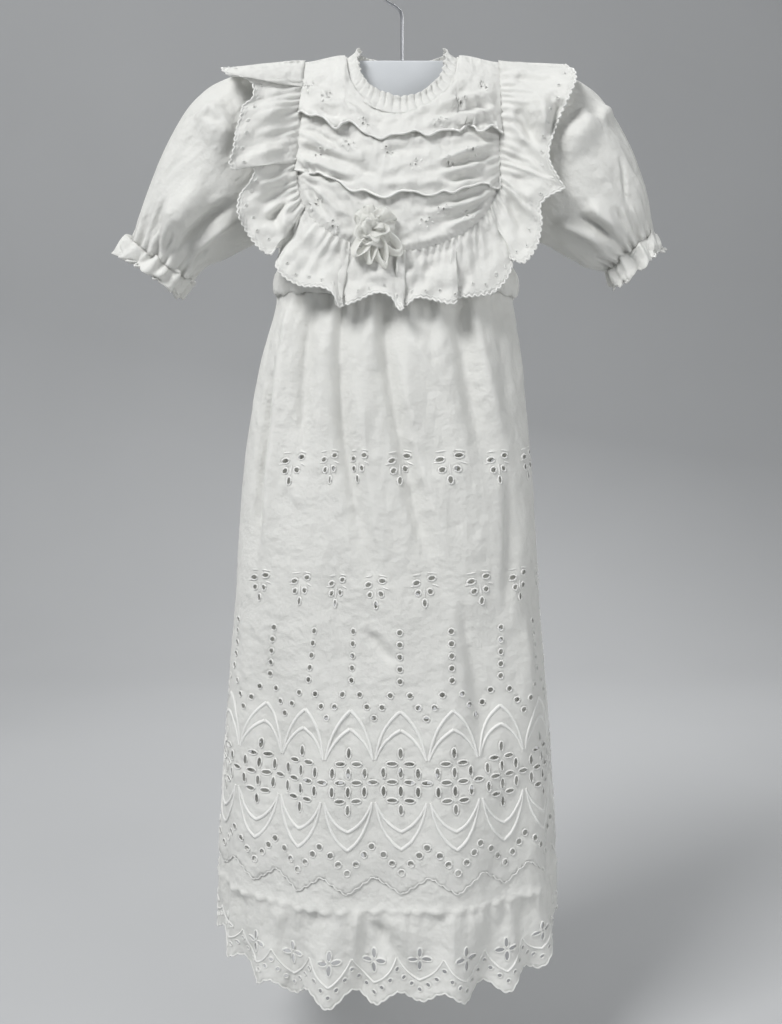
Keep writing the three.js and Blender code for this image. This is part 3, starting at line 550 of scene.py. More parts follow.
def cotton_finish(name, crease):
    """White cotton: plain weave with slubs, soft creases and a little yellowing."""
    finish = Finish(name)
    flat = finish.node("ShaderNodeUVMap", {"uv_map": "flat"})
    across = finish.node("ShaderNodeSeparateXYZ", {}, {0: flat}, output=0)
    along = finish.node("ShaderNodeSeparateXYZ", {}, {0: flat}, output=1)
    weave = (across * (math.tau / THREAD)).sine() * (along * (math.tau / THREAD)).sine()
    stretch = {"operation": "MULTIPLY"}
    warp, weft = (
        finish.noise(1.0, 2.0, finish.node("ShaderNodeVectorMath", stretch, {0: flat, 1: slub}))
        for slub in ((1500, 90, 1), (90, 1500, 1)))
    fine = 0.45 * weave + warp + weft
    soft = finish.noise(42, 3.0)
    sharp = finish.noise(75, 3.0, noise_dimensions="3D", noise_type="RIDGED_MULTIFRACTAL", normalize=True)
    fold = finish.noise(170, 3.0)
    creased = finish.bump(soft + 0.45 * sharp + 0.4 * fold, 0.0046 * crease, 0.85)
    finish.thin(0.32, (0.93, 0.93, 0.91))
    finish.shade({
        "Base Color": finish.tint((0.87, 0.87, 0.845), (0.81, 0.81, 0.78), finish.noise(7, 3.0)),
        "Roughness": 0.82 + 0.1 * soft,
        "Sheen Weight": 0.15,
        "Sheen Roughness": 0.6,
        "Specular IOR Level": 0.25,
        "Normal": finish.bump(fine, 0.00013, 0.7, creased),
    })
    return finish


def bodice_panel(name, side, first, last, rise):
    """Panel between two edges given as the share of the half width, -1 at the left side seam."""
    width = 125

    def share(x):
        return oval_angle(x / BODICE_HALF) * 2 / math.pi

    down = np.linspace(SHOULDER_Z - 6, UNDERARM, 60)
    round_neck = np.radians(np.linspace(180, 360, 50))
    neck = np.stack([NECK_HALF * np.cos(round_neck), NECK_Z + NECK_DROP[side] * np.sin(round_neck)], 1)
    right = [(share(x), shoulder_z(x)) for x in mix(NECK_HALF, ARMHOLE, np.linspace(0, 1, 12))]
    right += [(share(armhole_x(z)), z) for z in down[1:]]
    right += [(1, z) for z in np.linspace(UNDERARM - 2, WAIST, 24)]
    left = [(-s, z) for s, z in right[::-1]]
    middle = [(share(x), z) for x, z in neck if first < share(x) < last]
    level = NECK_Z - NECK_DROP[side] * math.sqrt(1 - (PLACKET / NECK_HALF) ** 2)
    if last < 1:
        right = [(last, z) for z in np.linspace(level, WAIST, 70)]
    if first > -1:
        left = [(first, z) for z in np.linspace(WAIST, level, 70)]
    foot = [(s, WAIST) for s in np.linspace(last, first, 60)[1:-1]]
    outline = np.array(left + middle + right + foot) * (width, 1)
    flat, faces = cut_cloth(outline, [], 2.7)
    a = flat[:, 0] / width * math.pi / 2
    x, z = BODICE_HALF * oval_sin(a), flat[:, 1]
    top_z = shoulder_z(x)
    depth = bodice_depth[side]((top_z - z) / (top_z - WAIST) * BODICE_LONG) * oval_cos(a)
    settle = (1 - np.abs(flat[:, 0] / width) ** 10) * ease((top_z - z) / 20)
    wrinkle = 0.9 * crumple(flat[:, 0] / 17, z / 34, 4 + side) + 0.4 * crumple(flat[:, 0] / 8, z / 14, 6)
    spread = np.interp(a, *SHARES[side])
    low = ease((-225 - z) / 30) * waist_gather(spread, 1.2 * (z - WAIST), side)
    fall = np.clip((-245 - z) / (-245 - WAIST), 0, 1)
    roll = np.clip((fall - 0.3) / 0.7, 0, 1)
    bulge = 0.7 * np.exp(-((spread - 0.9) / 0.1) ** 2)
    sag = 1 + settle * (0.55 * crumple(flat[:, 0] / 9, 0 * z, 9) + bulge)
    pouch = WAIST_PUFF * sag * np.sin(math.pi * roll ** 0.8)
    drop = WAIST_DROP * sag * np.sin(math.pi * roll ** 1.7)
    y = depth + SIDE_GAP + rise(x) + settle * (np.minimum(wrinkle - 0.6, 0.3) + low) + pouch * oval_cos(a)
    points = np.stack([centre(z) + x + pouch * oval_sin(a) * np.abs(np.sin(a)) ** 3, side * y, z - drop], 1)
    return sew(name, flat, faces, points, LAWN, (0, 0, -180))


LAWN = cotton_finish("cotton_lawn", 1.0)
bodice_front = bodice_panel("bodice_front_cloth", -1, -1, 1, lambda x: 0 * x)
lap = oval_angle(PLACKET / BODICE_HALF) * 2 / math.pi
bodice_back_left = bodice_panel(
    "bodice_back_left_cloth", 1, -1, lap, lambda x: 1.6 * ease((x + 3 * PLACKET) / PLACKET))
bodice_back_right = bodice_panel("bodice_back_right_cloth", 1, -lap, 1, lambda x: 0 * x)
for piece, node, cut, area in (
    (bodice_front, "bodice_front", (0.26, 0.22), 0.042),
    (bodice_back_left, "bodice_back_left", (0.135, 0.22), 0.022),
    (bodice_back_right, "bodice_back_right", (0.135, 0.22), 0.022),
):
    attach(piece, "root")
    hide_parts(node)


# Buttons: three small domed pearl buttons sewn down the centre back, each with a rim and a sunk ring.
# They lie on the outer back edge, at its middle.
BUTTON_LEVELS = (-112, -180, -250)
BUTTON_STAND = 3.55  # off the back, over the lap
BUTTON_PROFILE = (  # radius and rise, from the back's edge over the rim to the middle
    (5.0, -1.2), (5.0, 0.5), (4.6, 1.05), (3.9, 1.2), (3.4, 0.75), (2.9, 0.8), (1.6, 1.35), (0.0, 1.55),
)


def pearl_finish():
    finish = Finish("pearl_button")
    swirl = finish.noise(260, 4.0)
    finish.shade({
        "Base Color": finish.tint((0.88, 0.86, 0.82), (0.78, 0.77, 0.78), swirl),
        "Roughness": 0.16 + 0.14 * swirl,
        "Coat Weight": 0.4,
        "Normal": finish.bump(swirl, 0.00006),
    })
    return finish


def button(name, level, finish):
    turns = 40
    p, q = (bodice_point(0.0, z, 1, 0.0) for z in (level, level - 1))
    tilt = math.atan2(q[1] - p[1], 1)
    angle = np.arange(turns) * math.tau / turns
    rings = []
    for radius, rise in BUTTON_PROFILE:
        flat = np.stack([radius * np.cos(angle), np.full(turns, rise), radius * np.sin(angle)], 1)
        y = flat[:, 1] * math.cos(tilt) - flat[:, 2] * math.sin(tilt)
        z = flat[:, 1] * math.sin(tilt) + flat[:, 2] * math.cos(tilt)
        rings.append(np.stack([p[0] + flat[:, 0], p[1] + BUTTON_STAND + y, p[2] + z], 1))
    faces = [f[::-1] for f in grid_faces(len(rings) - 1, turns, ring=True)]
    faces.append(list(range(turns)))
    return add_piece(name, np.concatenate(rings), faces, finish)


PEARL = pearl_finish()
for number, level in enumerate(BUTTON_LEVELS, 1):
    piece = button(f"pearl_button_{number}", level, PEARL)
    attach(piece, "root")
    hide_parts(f"button_{number}")


# Collar: a strip of lawn folded into upright crimped pleats and sewn round the neck edge.
# It stands up, leans in a little and is open at the centre back.
COLLAR_HEIGHT = 16
COLLAR_PLEATS = 44
COLLAR_INSET = 0.9  # from the neck edge


def collar_cloth():
    cols, rows = COLLAR_PLEATS * 10, 12
    a = np.linspace(-math.pi + 0.014, math.pi - 0.014, cols + 1)[None, :]
    r = np.linspace(0, 1, rows + 1)[:, None]
    front = np.cos(a) > 0
    x = (NECK_HALF - COLLAR_INSET) * np.sin(a)
    z = NECK_Z - (np.where(front, NECK_DROP[-1], NECK_DROP[1]) - COLLAR_INSET) * np.abs(np.cos(a))
    y = np.where(front, bodice_y(x, z, -1), bodice_y(x, z, 1))
    uneven = crumple(a * 5, 0 * r, 11)
    turn = COLLAR_PLEATS * a / 2 + 0.5 * uneven
    rib = np.abs(np.sin(turn)) ** 0.6
    level = np.abs(np.cos(a))
    up = COLLAR_HEIGHT * (0.56 + 0.42 * level) * r + r * (1.2 * rib - 0.6 + 1.2 * uneven)
    foot = 1 - ease(r / 0.28)
    beside = np.abs(np.sin(a)) ** 8
    inward = COLLAR_HEIGHT * (0.74 - 0.28 * level) * r - 4.6 * foot
    inward = inward + (2.6 + 0.8 * uneven + 1.6 * beside) * (0.6 - rib) * (0.35 + 0.65 * r)
    inward = inward - 2.4 * ease((r - 0.5) / 0.5) * r
    spot = np.stack(np.broadcast_arrays(
        centre(z) + x - np.sin(a) * inward, y + np.cos(a) * inward, z + up * 0.87 + 0.6 - 3.0 * foot), -1)
    return sew_grid("collar_cloth", a * 55, r * COLLAR_HEIGHT, spot, LAWN, (0, 0, -90))


collar = collar_cloth()
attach(collar, "root")
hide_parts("collar")


# Embroidery thread: white mercerised cotton, laid as raised satin-stitch cords on the cloth.
# The same cord rims each eyelet, outlines the arches and binds the scalloped edges.
PLY = 0.0007  # turn of the thread's ply, in metres


def thread_finish():
    finish = Finish("embroidery_thread")
    along = finish.node("ShaderNodeAttribute", {"attribute_name": "along"}, output="Fac")
    ply = (along * (math.tau / PLY)).sine()
    finish.shade({
        "Base Color": finish.tint((0.895, 0.895, 0.87), (0.85, 0.85, 0.82), finish.noise(300)),
        "Roughness": 0.55 + 0.06 * ply,
        "Sheen Weight": 0.2,
        "Specular IOR Level": 0.35,
        "Normal": finish.bump(ply, 0.00012),
    })
    return finish


THREAD_FINISH = thread_finish()


def embroider(name, paths):
    """Raised satin-stitch cord along each path."""
    piece = CORD.made(name, paths, {"Width": MM, "Sides": 5, "Finish": THREAD_FINISH.material})
    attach(piece, "root")
    return piece


def oval(x, z, wide, long, turn=0.0, count=12):
    """Outline of an eyelet in flat cloth, `long` up the cloth before it is turned."""
    a = np.arange(count) * math.tau / count
    u, v = wide / 2 * np.cos(a), long / 2 * np.sin(a)
    way, up = math.cos(turn), math.sin(turn)
    return np.stack([x + u * way - v * up, z + u * up + v * way], 1)


# Yoke: three frills of eyelet cotton across the U of the yoke, each hanging over the one below.
# They are shirred into the U seam at their ends, so the cloth is puckered and their edges wave.
YOKE_HALF = 85.5
YOKE_TURN = -180
YOKE_DROP = 63
TIER_STAND = 2.35  # off the bodice
TIER_EDGES = (
    smooth((-86, -72, -57, -38, -23, -5, 10, 25, 47, 57, 70, 86),
           (-125, -128, -139, -138, -149, -148, -145, -147, -141, -139, -141, -139)),
    smooth((-86, -70, -55, -38, -25, -8, 5, 21, 36, 49, 62, 75, 86),
           (-174, -177, -182, -193, -195, -200, -194, -198, -195, -194, -188, -187, -189)),
)
TIER_CREASES = (  # across and level at both ends, rise, width
    ((-78, -121, -43, -132, -2.6, 4), (-76, -130, -41, -142, 2.6, 4), (-31, -132, -9, -139, -2.5, 5),
     (-66, -98, -8, -136, -2.6, 7), (62, -92, -4, -138, 2.4, 5), (-82, -110, -30, -128, 2.2, 5),
     (83, -107, 18, -124, 2.8, 4), (78, -117, 22, -130, -2.8, 3.5), (85, -124, 8, -142, 2.8, 4),
     (-84, -100, -56, -112, 2.0, 5), (80, -134, 40, -138, -2.2, 3)),
    ((-20, -160, 30, -158, -2.2, 6), (-60, -146, -14, -172, 2.4, 6), (-66, -160, -10, -184, -2.6, 5),
     (-86, -141, -37, -168, 2.6, 4), (-84, -153, -50, -168, -3.0, 3.5), (-86, -162, -33, -186, 2.8, 4),
     (83, -149, 22, -174, 2.8, 4), (83, -158, 31, -176, -3.0, 3.5), (81, -168, 12, -186, 2.8, 4.5),
     (-33, -190, 65, -186, 2.2, 5), (-60, -180, -30, -188, -2.2, 3.5), (76, -178, 30, -188, -2.4, 3.5)),
    ((-76, -186, -58, -216, -2.8, 3.5), (-69, -186, -48, -216, 2.6, 5), (76, -197, 22, -213, 2.8, 4),
     (74, -203, 33, -220, -2.8, 3), (70, -212, 35, -226, 2.4, 3.5), (-45, -196, -34, -222, -2.2, 4)),
)
TIER_SPRIGS = (  # across and level
    ((-79, -102), (-61, -113), (-31, -137), (32, -136), (50, -119), (68, -102)),
    ((-66, -161), (-42, -155), (-10, -161), (14, -172), (41, -170), (59, -160)),
    ((-68, -203), (-53, -222), (24, -219), (38, -209), (58, -213)),
)


def creases(u, v, table, squash):
    """Height of listed creases over flat cloth; `squash` brings v to the measure of u."""
    height = np.zeros(np.broadcast(u, v).shape)
    for u0, v0, u1, v1, depth, width in table:
        du, dv = u1 - u0, (v1 - v0) * squash
        t = np.clip(((u - u0) * du + (v - v0) * squash * dv) / (du * du + dv * dv), 0, 1)
        away = np.hypot(u - u0 - t * du, (v - v0) * squash - t * dv) / width
        fade = ease(t / 0.3) * ease((1 - t) / 0.45)
        height += depth * fade * (1.3 * np.exp(-1.6 * away * away) - 0.3 * np.exp(-0.2 * away * away))
    return height


def yoke_z(x):
    return YOKE_TURN - YOKE_DROP * np.sqrt(np.maximum(0, 1 - (x / YOKE_HALF) ** 2))


def yoke_tier(k):
    last = k == 2
    width = YOKE_HALF

    def levels(x):
        if k:
            top = TIER_EDGES[k - 1](x) + 10
        else:
            round_neck = np.sqrt(np.maximum(0, 1 - (x / (NECK_HALF + 0.5)) ** 2))
            neck = NECK_Z - (NECK_DROP[-1] + 0.5) * round_neck
            top = np.minimum(neck, shoulder_z(x) - 1.5)
        foot = yoke_z(x) - 0.4 if last else np.maximum(TIER_EDGES[k](x), yoke_z(x))
        return top, np.minimum(foot, top - 2)

    def place(u, v, out=0.0):
        x = width * u
        top, foot = levels(x)
        z = mix(top, foot, v)
        wave = crumple(u * 5.5 + 3, 0 * u, 31 + k)
        lift = 0.8 if last else 4.3 + 2.0 * wave
        puckers = 0
        for way in (-1, 1):
            near = 1 - way * u
            fan = (z - mix(top, foot, 0.35)) / (near + 0.3)
            tucks = crumple(fan / 7.5, near * 2.5, 41 + 3 * k + way)
            puckers = puckers + 3.4 * np.exp(-near / 0.55) * tucks
        drag = 1.2 * crumple(u * 4.5, z / 8 + 4 * np.abs(u), 51 + k)
        drag = drag + crumple(u * 13, z / 4.5, 54 + k) + 1.6 * creases(x, z, TIER_CREASES[k], 1)
        shirr = (1.2 if k else 0.6) * np.exp(-v / 0.2) * np.cos(u * 58 + 4 * crumple(u * 8, v, 57 + k))
        ends = ease((shoulder_z(x) - z) / 22) * (0.3 + 0.7 * ease((1 - np.abs(u)) / 0.13))
        full = 1.8 * ease(v / 0.25) * ends
        relief = (puckers + drag + shirr) * ends
        if last:
            inner = np.sqrt(u * u + (np.minimum(z - YOKE_TURN, 0) / YOKE_DROP) ** 2)
            from_seam = (1 - inner) * 74
            along = np.arctan2(YOKE_TURN - z, x) * 75
            roll = np.exp(-((from_seam - 6.5) / 4.2) ** 2)
            ribs = 0.8 * np.cos(along * math.tau / 6 + 3 * crumple(along / 12, 0 * u, 58))
            full = full * ease((from_seam - 3) / 12)
            relief = relief * ease((from_seam - 2) / 10) + 2.6 * roll
            relief = relief + ribs * np.exp(-((from_seam - 3) / 5) ** 2)
        rise = TIER_STAND + full + lift * v ** 1.7 + np.maximum(relief, -1.0 - 0.9 * full - lift * 0.3 * v)
        return bodice_point(x, z, -1, rise + out)

    eyelets, rims = [], []
    size = levels(0.0)
    tall = size[0] - size[1]

    def flat_spot(x, z):
        top, foot = levels(x)
        return np.stack([x / width, (top - z) / (top - foot)], -1)

    for number, (x, z) in enumerate(TIER_SPRIGS[k]):
        tilt = 0.9 * math.sin(2.3 * number + k)
        way, up = math.cos(tilt), math.sin(tilt)
        for across, rise, wide, long in ((0, 0, 1.3, 1.8), (3.4, 2.4, 1.1, 1.5), (-3.2, 3.0, 1.1, 1.5)):
            spot = (x + across * way - rise * up, z + across * up + rise * way)
            eyelets.append(flat_spot(*oval(*spot, wide, long, tilt + across / 4, 10).T))
            edge = flat_spot(*oval(*spot, wide + 0.9, long + 0.9, tilt + across / 4, 10).T)
            rims.append((place(edge[:, 0], edge[:, 1], 0.1), True, 1.0))
        t = np.linspace(-1, 1, 7)
        for across, rise, turn in ((-5.0, -0.5, 0.5), (5.4, -1.5, -0.4), (0.2, -4.4, 1.5)):
            line_x, line_z = across + 1.5 * t * math.cos(turn), rise + 1.5 * t * math.sin(turn)
            line = flat_spot(x + line_x * way - line_z * up, z + line_x * up + line_z * way)
            rims.append((place(line[:, 0], line[:, 1], -0.5), False, 2.2 * np.cos(1.2 * t)))
    long_edge = np.linspace(-1, 1, 241)
    wander = 2 * crumple(long_edge * 4, 0 * long_edge, 59 + k)
    edge_v = 1 + (0 if last else 1.0) / tall * np.sin(long_edge * 27 + wander)
    outline = strip_outline(-1, 1, 0, 121, long_edge, edge_v, np.linspace(0, 1, 26)[1:-1])
    flat_scale = np.array((width, tall))
    flat, faces = cut_cloth(outline * flat_scale, [e * flat_scale for e in eyelets], 1.7)
    points = place(flat[:, 0] / width, flat[:, 1] / tall)
    cloth = sew(f"yoke_tier_{k + 1}_cloth", flat, faces, points, EYELET_COTTON, (0, 0, -180), 0.6)
    if not last:
        rims.append((place(long_edge, edge_v, -0.1), False, 2.2))
    return cloth, embroider(f"yoke_tier_{k + 1}_embroidery", rims)


EYELET_COTTON = cotton_finish("eyelet_cotton", 0.85)
TIER_CUTS = (((0.235, 0.085), 0.0125), ((0.235, 0.062), 0.0120), ((0.21, 0.064), 0.0100))
for k, (cut, area) in enumerate(TIER_CUTS):
    cloth, rims = yoke_tier(k)
    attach(cloth, "root")
    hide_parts(f"yoke_tier_{k + 1}")


# Ruffle: one long strip of eyelet edging gathered into the U seam round the yoke.
# Its free edge falls in lobes that fold over each other, over the shoulders and the waist.
RUFFLE_EDGE = (  # place on the seam, then across and level of the free edge, and how far it stands off
    (0, -152, -81, 4), (14, -153, -88, 9), (25, -150, -93, 11), (27, -147, -95, 10),
    (21, -136, -95, 3), (20, -128, -100, 1), (27, -127, -112, 1), (34, -135, -120, 4),
    (38, -136, -126, 8), (50, -140, -142, 9), (66, -142, -159, 10), (82, -145, -171, 12),
    (90, -141, -175, 11), (86, -130, -172, 3), (84, -125, -175, 1), (92, -129, -184, 1),
    (100, -137, -194, 6), (112, -139, -209, 9), (122, -132, -226, 10), (130, -121, -240, 12),
    (134, -112, -245, 12), (131, -107, -238, 4), (129, -104, -240, 1), (140, -106, -248, 2),
    (151, -107, -255, 4), (160, -99, -265, 8), (168, -85, -272, 9), (175, -69, -273, 8),
    (181, -59, -278, 9), (185, -53, -290, 11), (186, -50.5, -288, 10), (180, -57, -282, 5),
    (179, -56, -287, 3.5), (187, -49, -288, 4), (196, -40, -285, 5), (206, -22, -278, 7),
    (217, -10, -281, 9), (227, -3, -292, 11), (228.5, 1, -291, 10), (222, -5, -284, 5),
    (221, -3, -288, 3.5), (230, 3, -288, 4), (240, 12, -282, 6), (252, 27, -284, 8),
    (266, 41, -287, 11), (270, 46, -285, 10), (264, 40, -277, 5), (263, 41, -280, 3.5),
    (272, 48, -281, 4), (281, 62, -280, 6), (291, 77, -277, 8), (300, 89, -265, 9),
    (306, 94, -251, 6), (312, 91, -247, 1), (308, 92, -248, 3), (309, 95, -250, 11),
    (315, 103, -252, 13), (325, 114, -238, 10), (334, 118, -218, 9), (342, 117, -204, 5),
    (346, 124, -196, 4), (351, 136, -190, 11), (355, 132, -184, 10), (368, 124, -167, 3),
    (380, 124, -156, 3), (394, 130, -137, 6), (410, 139, -116, 8), (424, 147, -97, 8),
    (434, 147, -86, 7), (442, 143, -78, 4),
)
RUFFLE_CREASES = (  # along the seam and down the strip at both ends, rise, width
    (414, 0.55, 380, 0.90, 9, 7), (412, 0.92, 384, 1.0, -9, 5), (404, 0.2, 376, 0.8, -6, 6),
    (426, 0.15, 420, 0.9, -3.5, 6), (388, 0.1, 372, 0.85, 4, 5), (118, 0.15, 128, 0.75, -5, 4),
    (124, 0.1, 134, 0.7, 4, 4), (96, 0.1, 100, 0.8, 3.5, 5), (108, 0.1, 113, 0.85, -3.5, 5),
    (74, 0.15, 78, 0.9, 3, 6), (352, 0.0, 352, 1.0, 4, 4), (60, 0.1, 66, 0.8, -2.5, 6),
    (46, 0.2, 44, 0.9, 2, 6), (330, 0.1, 326, 0.9, -4, 6), (320, 0.1, 316, 0.8, 3, 5),
    (160, 0.1, 164, 0.9, -2.5, 6), (208, 0.1, 208, 0.9, 2, 7), (246, 0.1, 246, 0.9, -2, 7),
    (286, 0.1, 284, 0.9, -2.5, 6),
)
RUFFLE_LEAN = 4.5
YOKE_SIDE = 103
YOKE_ROUND = math.pi * math.sqrt((YOKE_HALF ** 2 + YOKE_DROP ** 2) / 2)


def ruffle_seam(along):
    """Seam points and the way out from the yoke, from the left shoulder round to the right one."""
    half = YOKE_HALF - 1.0
    a = np.clip(math.pi * (along - YOKE_SIDE) / YOKE_ROUND, 0, math.pi)
    x = -half * np.cos(a)
    z = YOKE_TURN - (YOKE_DROP - 1.0) * np.sin(a)
    up = np.minimum(along, 2 * YOKE_SIDE + YOKE_ROUND - along)
    z = np.where(up < YOKE_SIDE, mix(-73.5, YOKE_TURN, up / YOKE_SIDE), z)
    out_x = -np.cos(a) / YOKE_HALF / np.hypot(np.cos(a) / YOKE_HALF, np.sin(a) / YOKE_DROP)
    return x, z, np.abs(out_x)


def sleeve_front(z):
    return -46 * np.sqrt(np.maximum(0, 1 - ((z + 158) / 80) ** 2))


def ruffle_cloth():
    table = np.array(RUFFLE_EDGE, float)
    steps = np.concatenate([[0], np.cumsum(np.linalg.norm(np.diff(table[:, 1:], axis=0), axis=1))])
    long = steps[-1]
    edge_x, edge_z, edge_front = (smooth(steps, table[:, c]) for c in (1, 2, 3))

    def place(s, v, out=0.0):
        """s runs along the free edge, v from the seam to the edge."""
        along = np.interp(s, steps, table[:, 0])
        x, z, side = ruffle_seam(along)
        front = edge_front(s)
        root = bodice_point(x, z, -1, 3.0 + 0.05 * front)
        lying = root[..., 1] - RUFFLE_LEAN
        rest = np.minimum(lying, mix(lying, sleeve_front(z) - 5, side))
        y = mix(root[..., 1], rest, v ** 0.9) - 0.85 * front * v ** 1.25
        wander = 3 * crumple(along / 12, 0 * v, 61)
        gather = 1.8 * np.exp(-v / 0.3) * np.cos(along * math.tau / 6.2 + wander)
        crease = 3.7 * crumple(s / 24, v * 2.4, 62) + 2.3 * crumple(s / 10, v * 5, 63)
        crease = crease + creases(along, v, RUFFLE_CREASES, 45)
        y = y - gather * ease(v / 0.08) - crease * ease(v / 0.25)
        bow = 2.6 * np.sin(math.pi * v ** 1.3) * crumple(s / 19, v * 1.7, 65)
        x, z = mix(root[..., 0], edge_x(s), v) + bow, mix(root[..., 2], edge_z(s), v)
        return np.stack([x, y - out, z], -1)

    deep = 50.0
    edge_s = np.linspace(0, long, int(long / 1.3))
    edge_v = 1 + 1.7 / deep * (np.abs(np.sin(edge_s * math.pi / 5.2)) - 0.5)
    outline = strip_outline(0, long, 0, int(long / 2.2), edge_s, edge_v, np.linspace(0, 1, 26)[1:-1])
    eyelets, rims = [], []
    for j, s in enumerate(np.arange(6, long - 4, 12.5)):
        v = 0.87 - 0.05 * (j % 2)
        lean = 0.4 if j % 2 else -0.4
        eyelets.append(oval(s, v * deep, 1.1, 1.6, lean, 10))
        wide = oval(s, v * deep, 2.1, 2.6, lean, 10)
        rims.append((place(wide[:, 0], wide[:, 1] / deep, 0.1), True, 1.1))
    flat, faces = cut_cloth(outline * (1, deep), eyelets, 2.1)
    points = place(flat[:, 0], flat[:, 1] / deep)
    cloth = sew("ruffle_cloth", flat, faces, points, EYELET_COTTON, (0, 300, -180), 0.5)
    rims.append((place(edge_s, edge_v, -0.2), False, 1.8))
    rims.append((place(edge_s, edge_v - 0.055, -0.1), False, 0.9))
    return cloth, embroider("ruffle_embroidery", rims)


ruffle, ruffle_edge = ruffle_cloth()
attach(ruffle, "root")
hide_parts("ruffle")


# Rosette: a bow of soft white satin ribbon at the foot of the yoke.
# A wound bud sits in a ring of broad loops, and narrow loops hang below it.
ROSETTE_X, ROSETTE_Z = -19, -226
LOOPS = (  # turn in degrees, length, width, and how far the loop stands open
    (58, 14, 16, 0),
    (122, 14, 16, 0),
    (231, 21, 10.2, 4.5),
    (262, 22, 10.2, 3.0),
    (287, 26, 10.2, 4.0),
    (319, 24, 10.2, 5.0),
)
RIBBON = 0.35  # thickness
rosette_at = bodice_point(ROSETTE_X, ROSETTE_Z, -1, 6.0)
rosette_out = rosette_at - bodice_point(ROSETTE_X, ROSETTE_Z, -1, 0.0)
rosette_out /= np.linalg.norm(rosette_out)


def ribbon_finish():
    finish = Finish("satin_ribbon")
    flat = finish.node("ShaderNodeUVMap", {"uv_map": "flat"})
    across = finish.node("ShaderNodeVectorMath", {"operation": "MULTIPLY"}, {0: flat, 1: (60, 2600, 1)})
    floats = finish.noise(1.0, 2.0, across)
    finish.thin(0.68, (0.97, 0.97, 0.95))
    finish.shade({
        "Base Color": finish.tint((0.92, 0.92, 0.905), (0.84, 0.84, 0.82), floats),
        "Roughness": 0.52 + 0.14 * floats,
        "Sheen Weight": 0.25,
        "Normal": finish.bump(floats, 0.0001),
    })
    return finish


def rosette_spot(radial, across, rise, turn):
    level = np.array((-rosette_out[1], rosette_out[0], 0))
    level /= np.linalg.norm(level)
    up = np.cross(rosette_out, level)
    a = np.radians(turn)
    way, cross = level * math.cos(a) + up * math.sin(a), up * math.cos(a) - level * math.sin(a)
    return rosette_at + radial[..., None] * way + across[..., None] * cross + rise[..., None] * rosette_out


def ribbon_loop(number, turn, length, width, opened):
    t = np.linspace(0, 1, 41)[:, None]
    s = np.linspace(-1, 1, 11)[None, :]
    slack = 1.15 * length
    radial = 4.5 + slack * (0.5 - 0.5 * np.cos(math.tau * t)) * (1 - 0.16 * s * s)
    rise = 2.6 + 4.2 * np.sin(math.tau * t) + 1.3 * np.cos(1.6 * math.pi * s + number) * np.sin(math.pi * t)
    rise = rise + 1.2 * np.sin(math.pi * t) ** 2
    taper = 0.3 + 0.8 * np.sin(math.pi * t) ** 0.8
    ruck = np.sin(math.pi * t) * crumple(t * 5 + 3 * number, s * 1.8, 64 + number)
    rise = rise + 2.4 * ruck
    twist = 2.4 * np.sin(math.tau * t + 1.3 * number) * np.sin(math.pi * t) + 1.6 * ruck
    across = s * width / 2 * taper + twist
    if opened:
        across = opened * np.sin(math.tau * t) + 0.8 * ruck + 0.3 * s * width
        rise = 4.6 + 0.42 * s * width * taper + 1.6 * ruck + 1.5 * np.sin(math.pi * t)
    points = rosette_spot(radial, across, rise + 0 * s, turn)
    middle = rosette_spot(np.array(5.5 + slack / 2), np.array(0.0), np.array(3.0), turn)
    flat = (t * length * 2.4, s * width / 2)
    return sew_grid(f"ribbon_loop_{number}", *flat, points, SATIN, middle, RIBBON)


def ribbon_bud():
    t = np.linspace(0, 1, 321)[:, None]
    s = np.linspace(0, 1, 11)[None, :]
    turn = 4.0 * math.tau * t
    lobe = crumple(turn * 1.15, 0.6 * s, 68)
    radius = mix(0.2, 7.5, t) + s * (7.5 + 5.5 * lobe) + 2.0 * s * crumple(turn * 2, 3 * s, 67)
    ruck = 5.0 * crumple(turn * 1.3, 2 * s, 69) - 2.0 * lobe
    rise = mix(9.0, 3.0, t) + 3.4 * np.sin(2.5 * s) + s * ruck
    points = rosette_spot(radius * np.cos(turn), radius * np.sin(turn), rise + 0 * t, 0)
    return sew_grid("ribbon_bud", t * 240, s * 12, points, SATIN, rosette_at, RIBBON)


SATIN = ribbon_finish()
bud = ribbon_bud()
ribbons = [(bud, "rosette_bud", (0.240, 0.012))]
for number, (turn, length, width, opened) in enumerate(LOOPS, 1):
    piece = ribbon_loop(number, turn, length, width, opened)
    ribbons.append((piece, f"rosette_loop_{number}", (2.4 * length * MM, width * MM)))
for piece, node, cut in ribbons:
    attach(piece, "root")
    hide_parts(node)
    0.95 * cut[0] * cut[1]


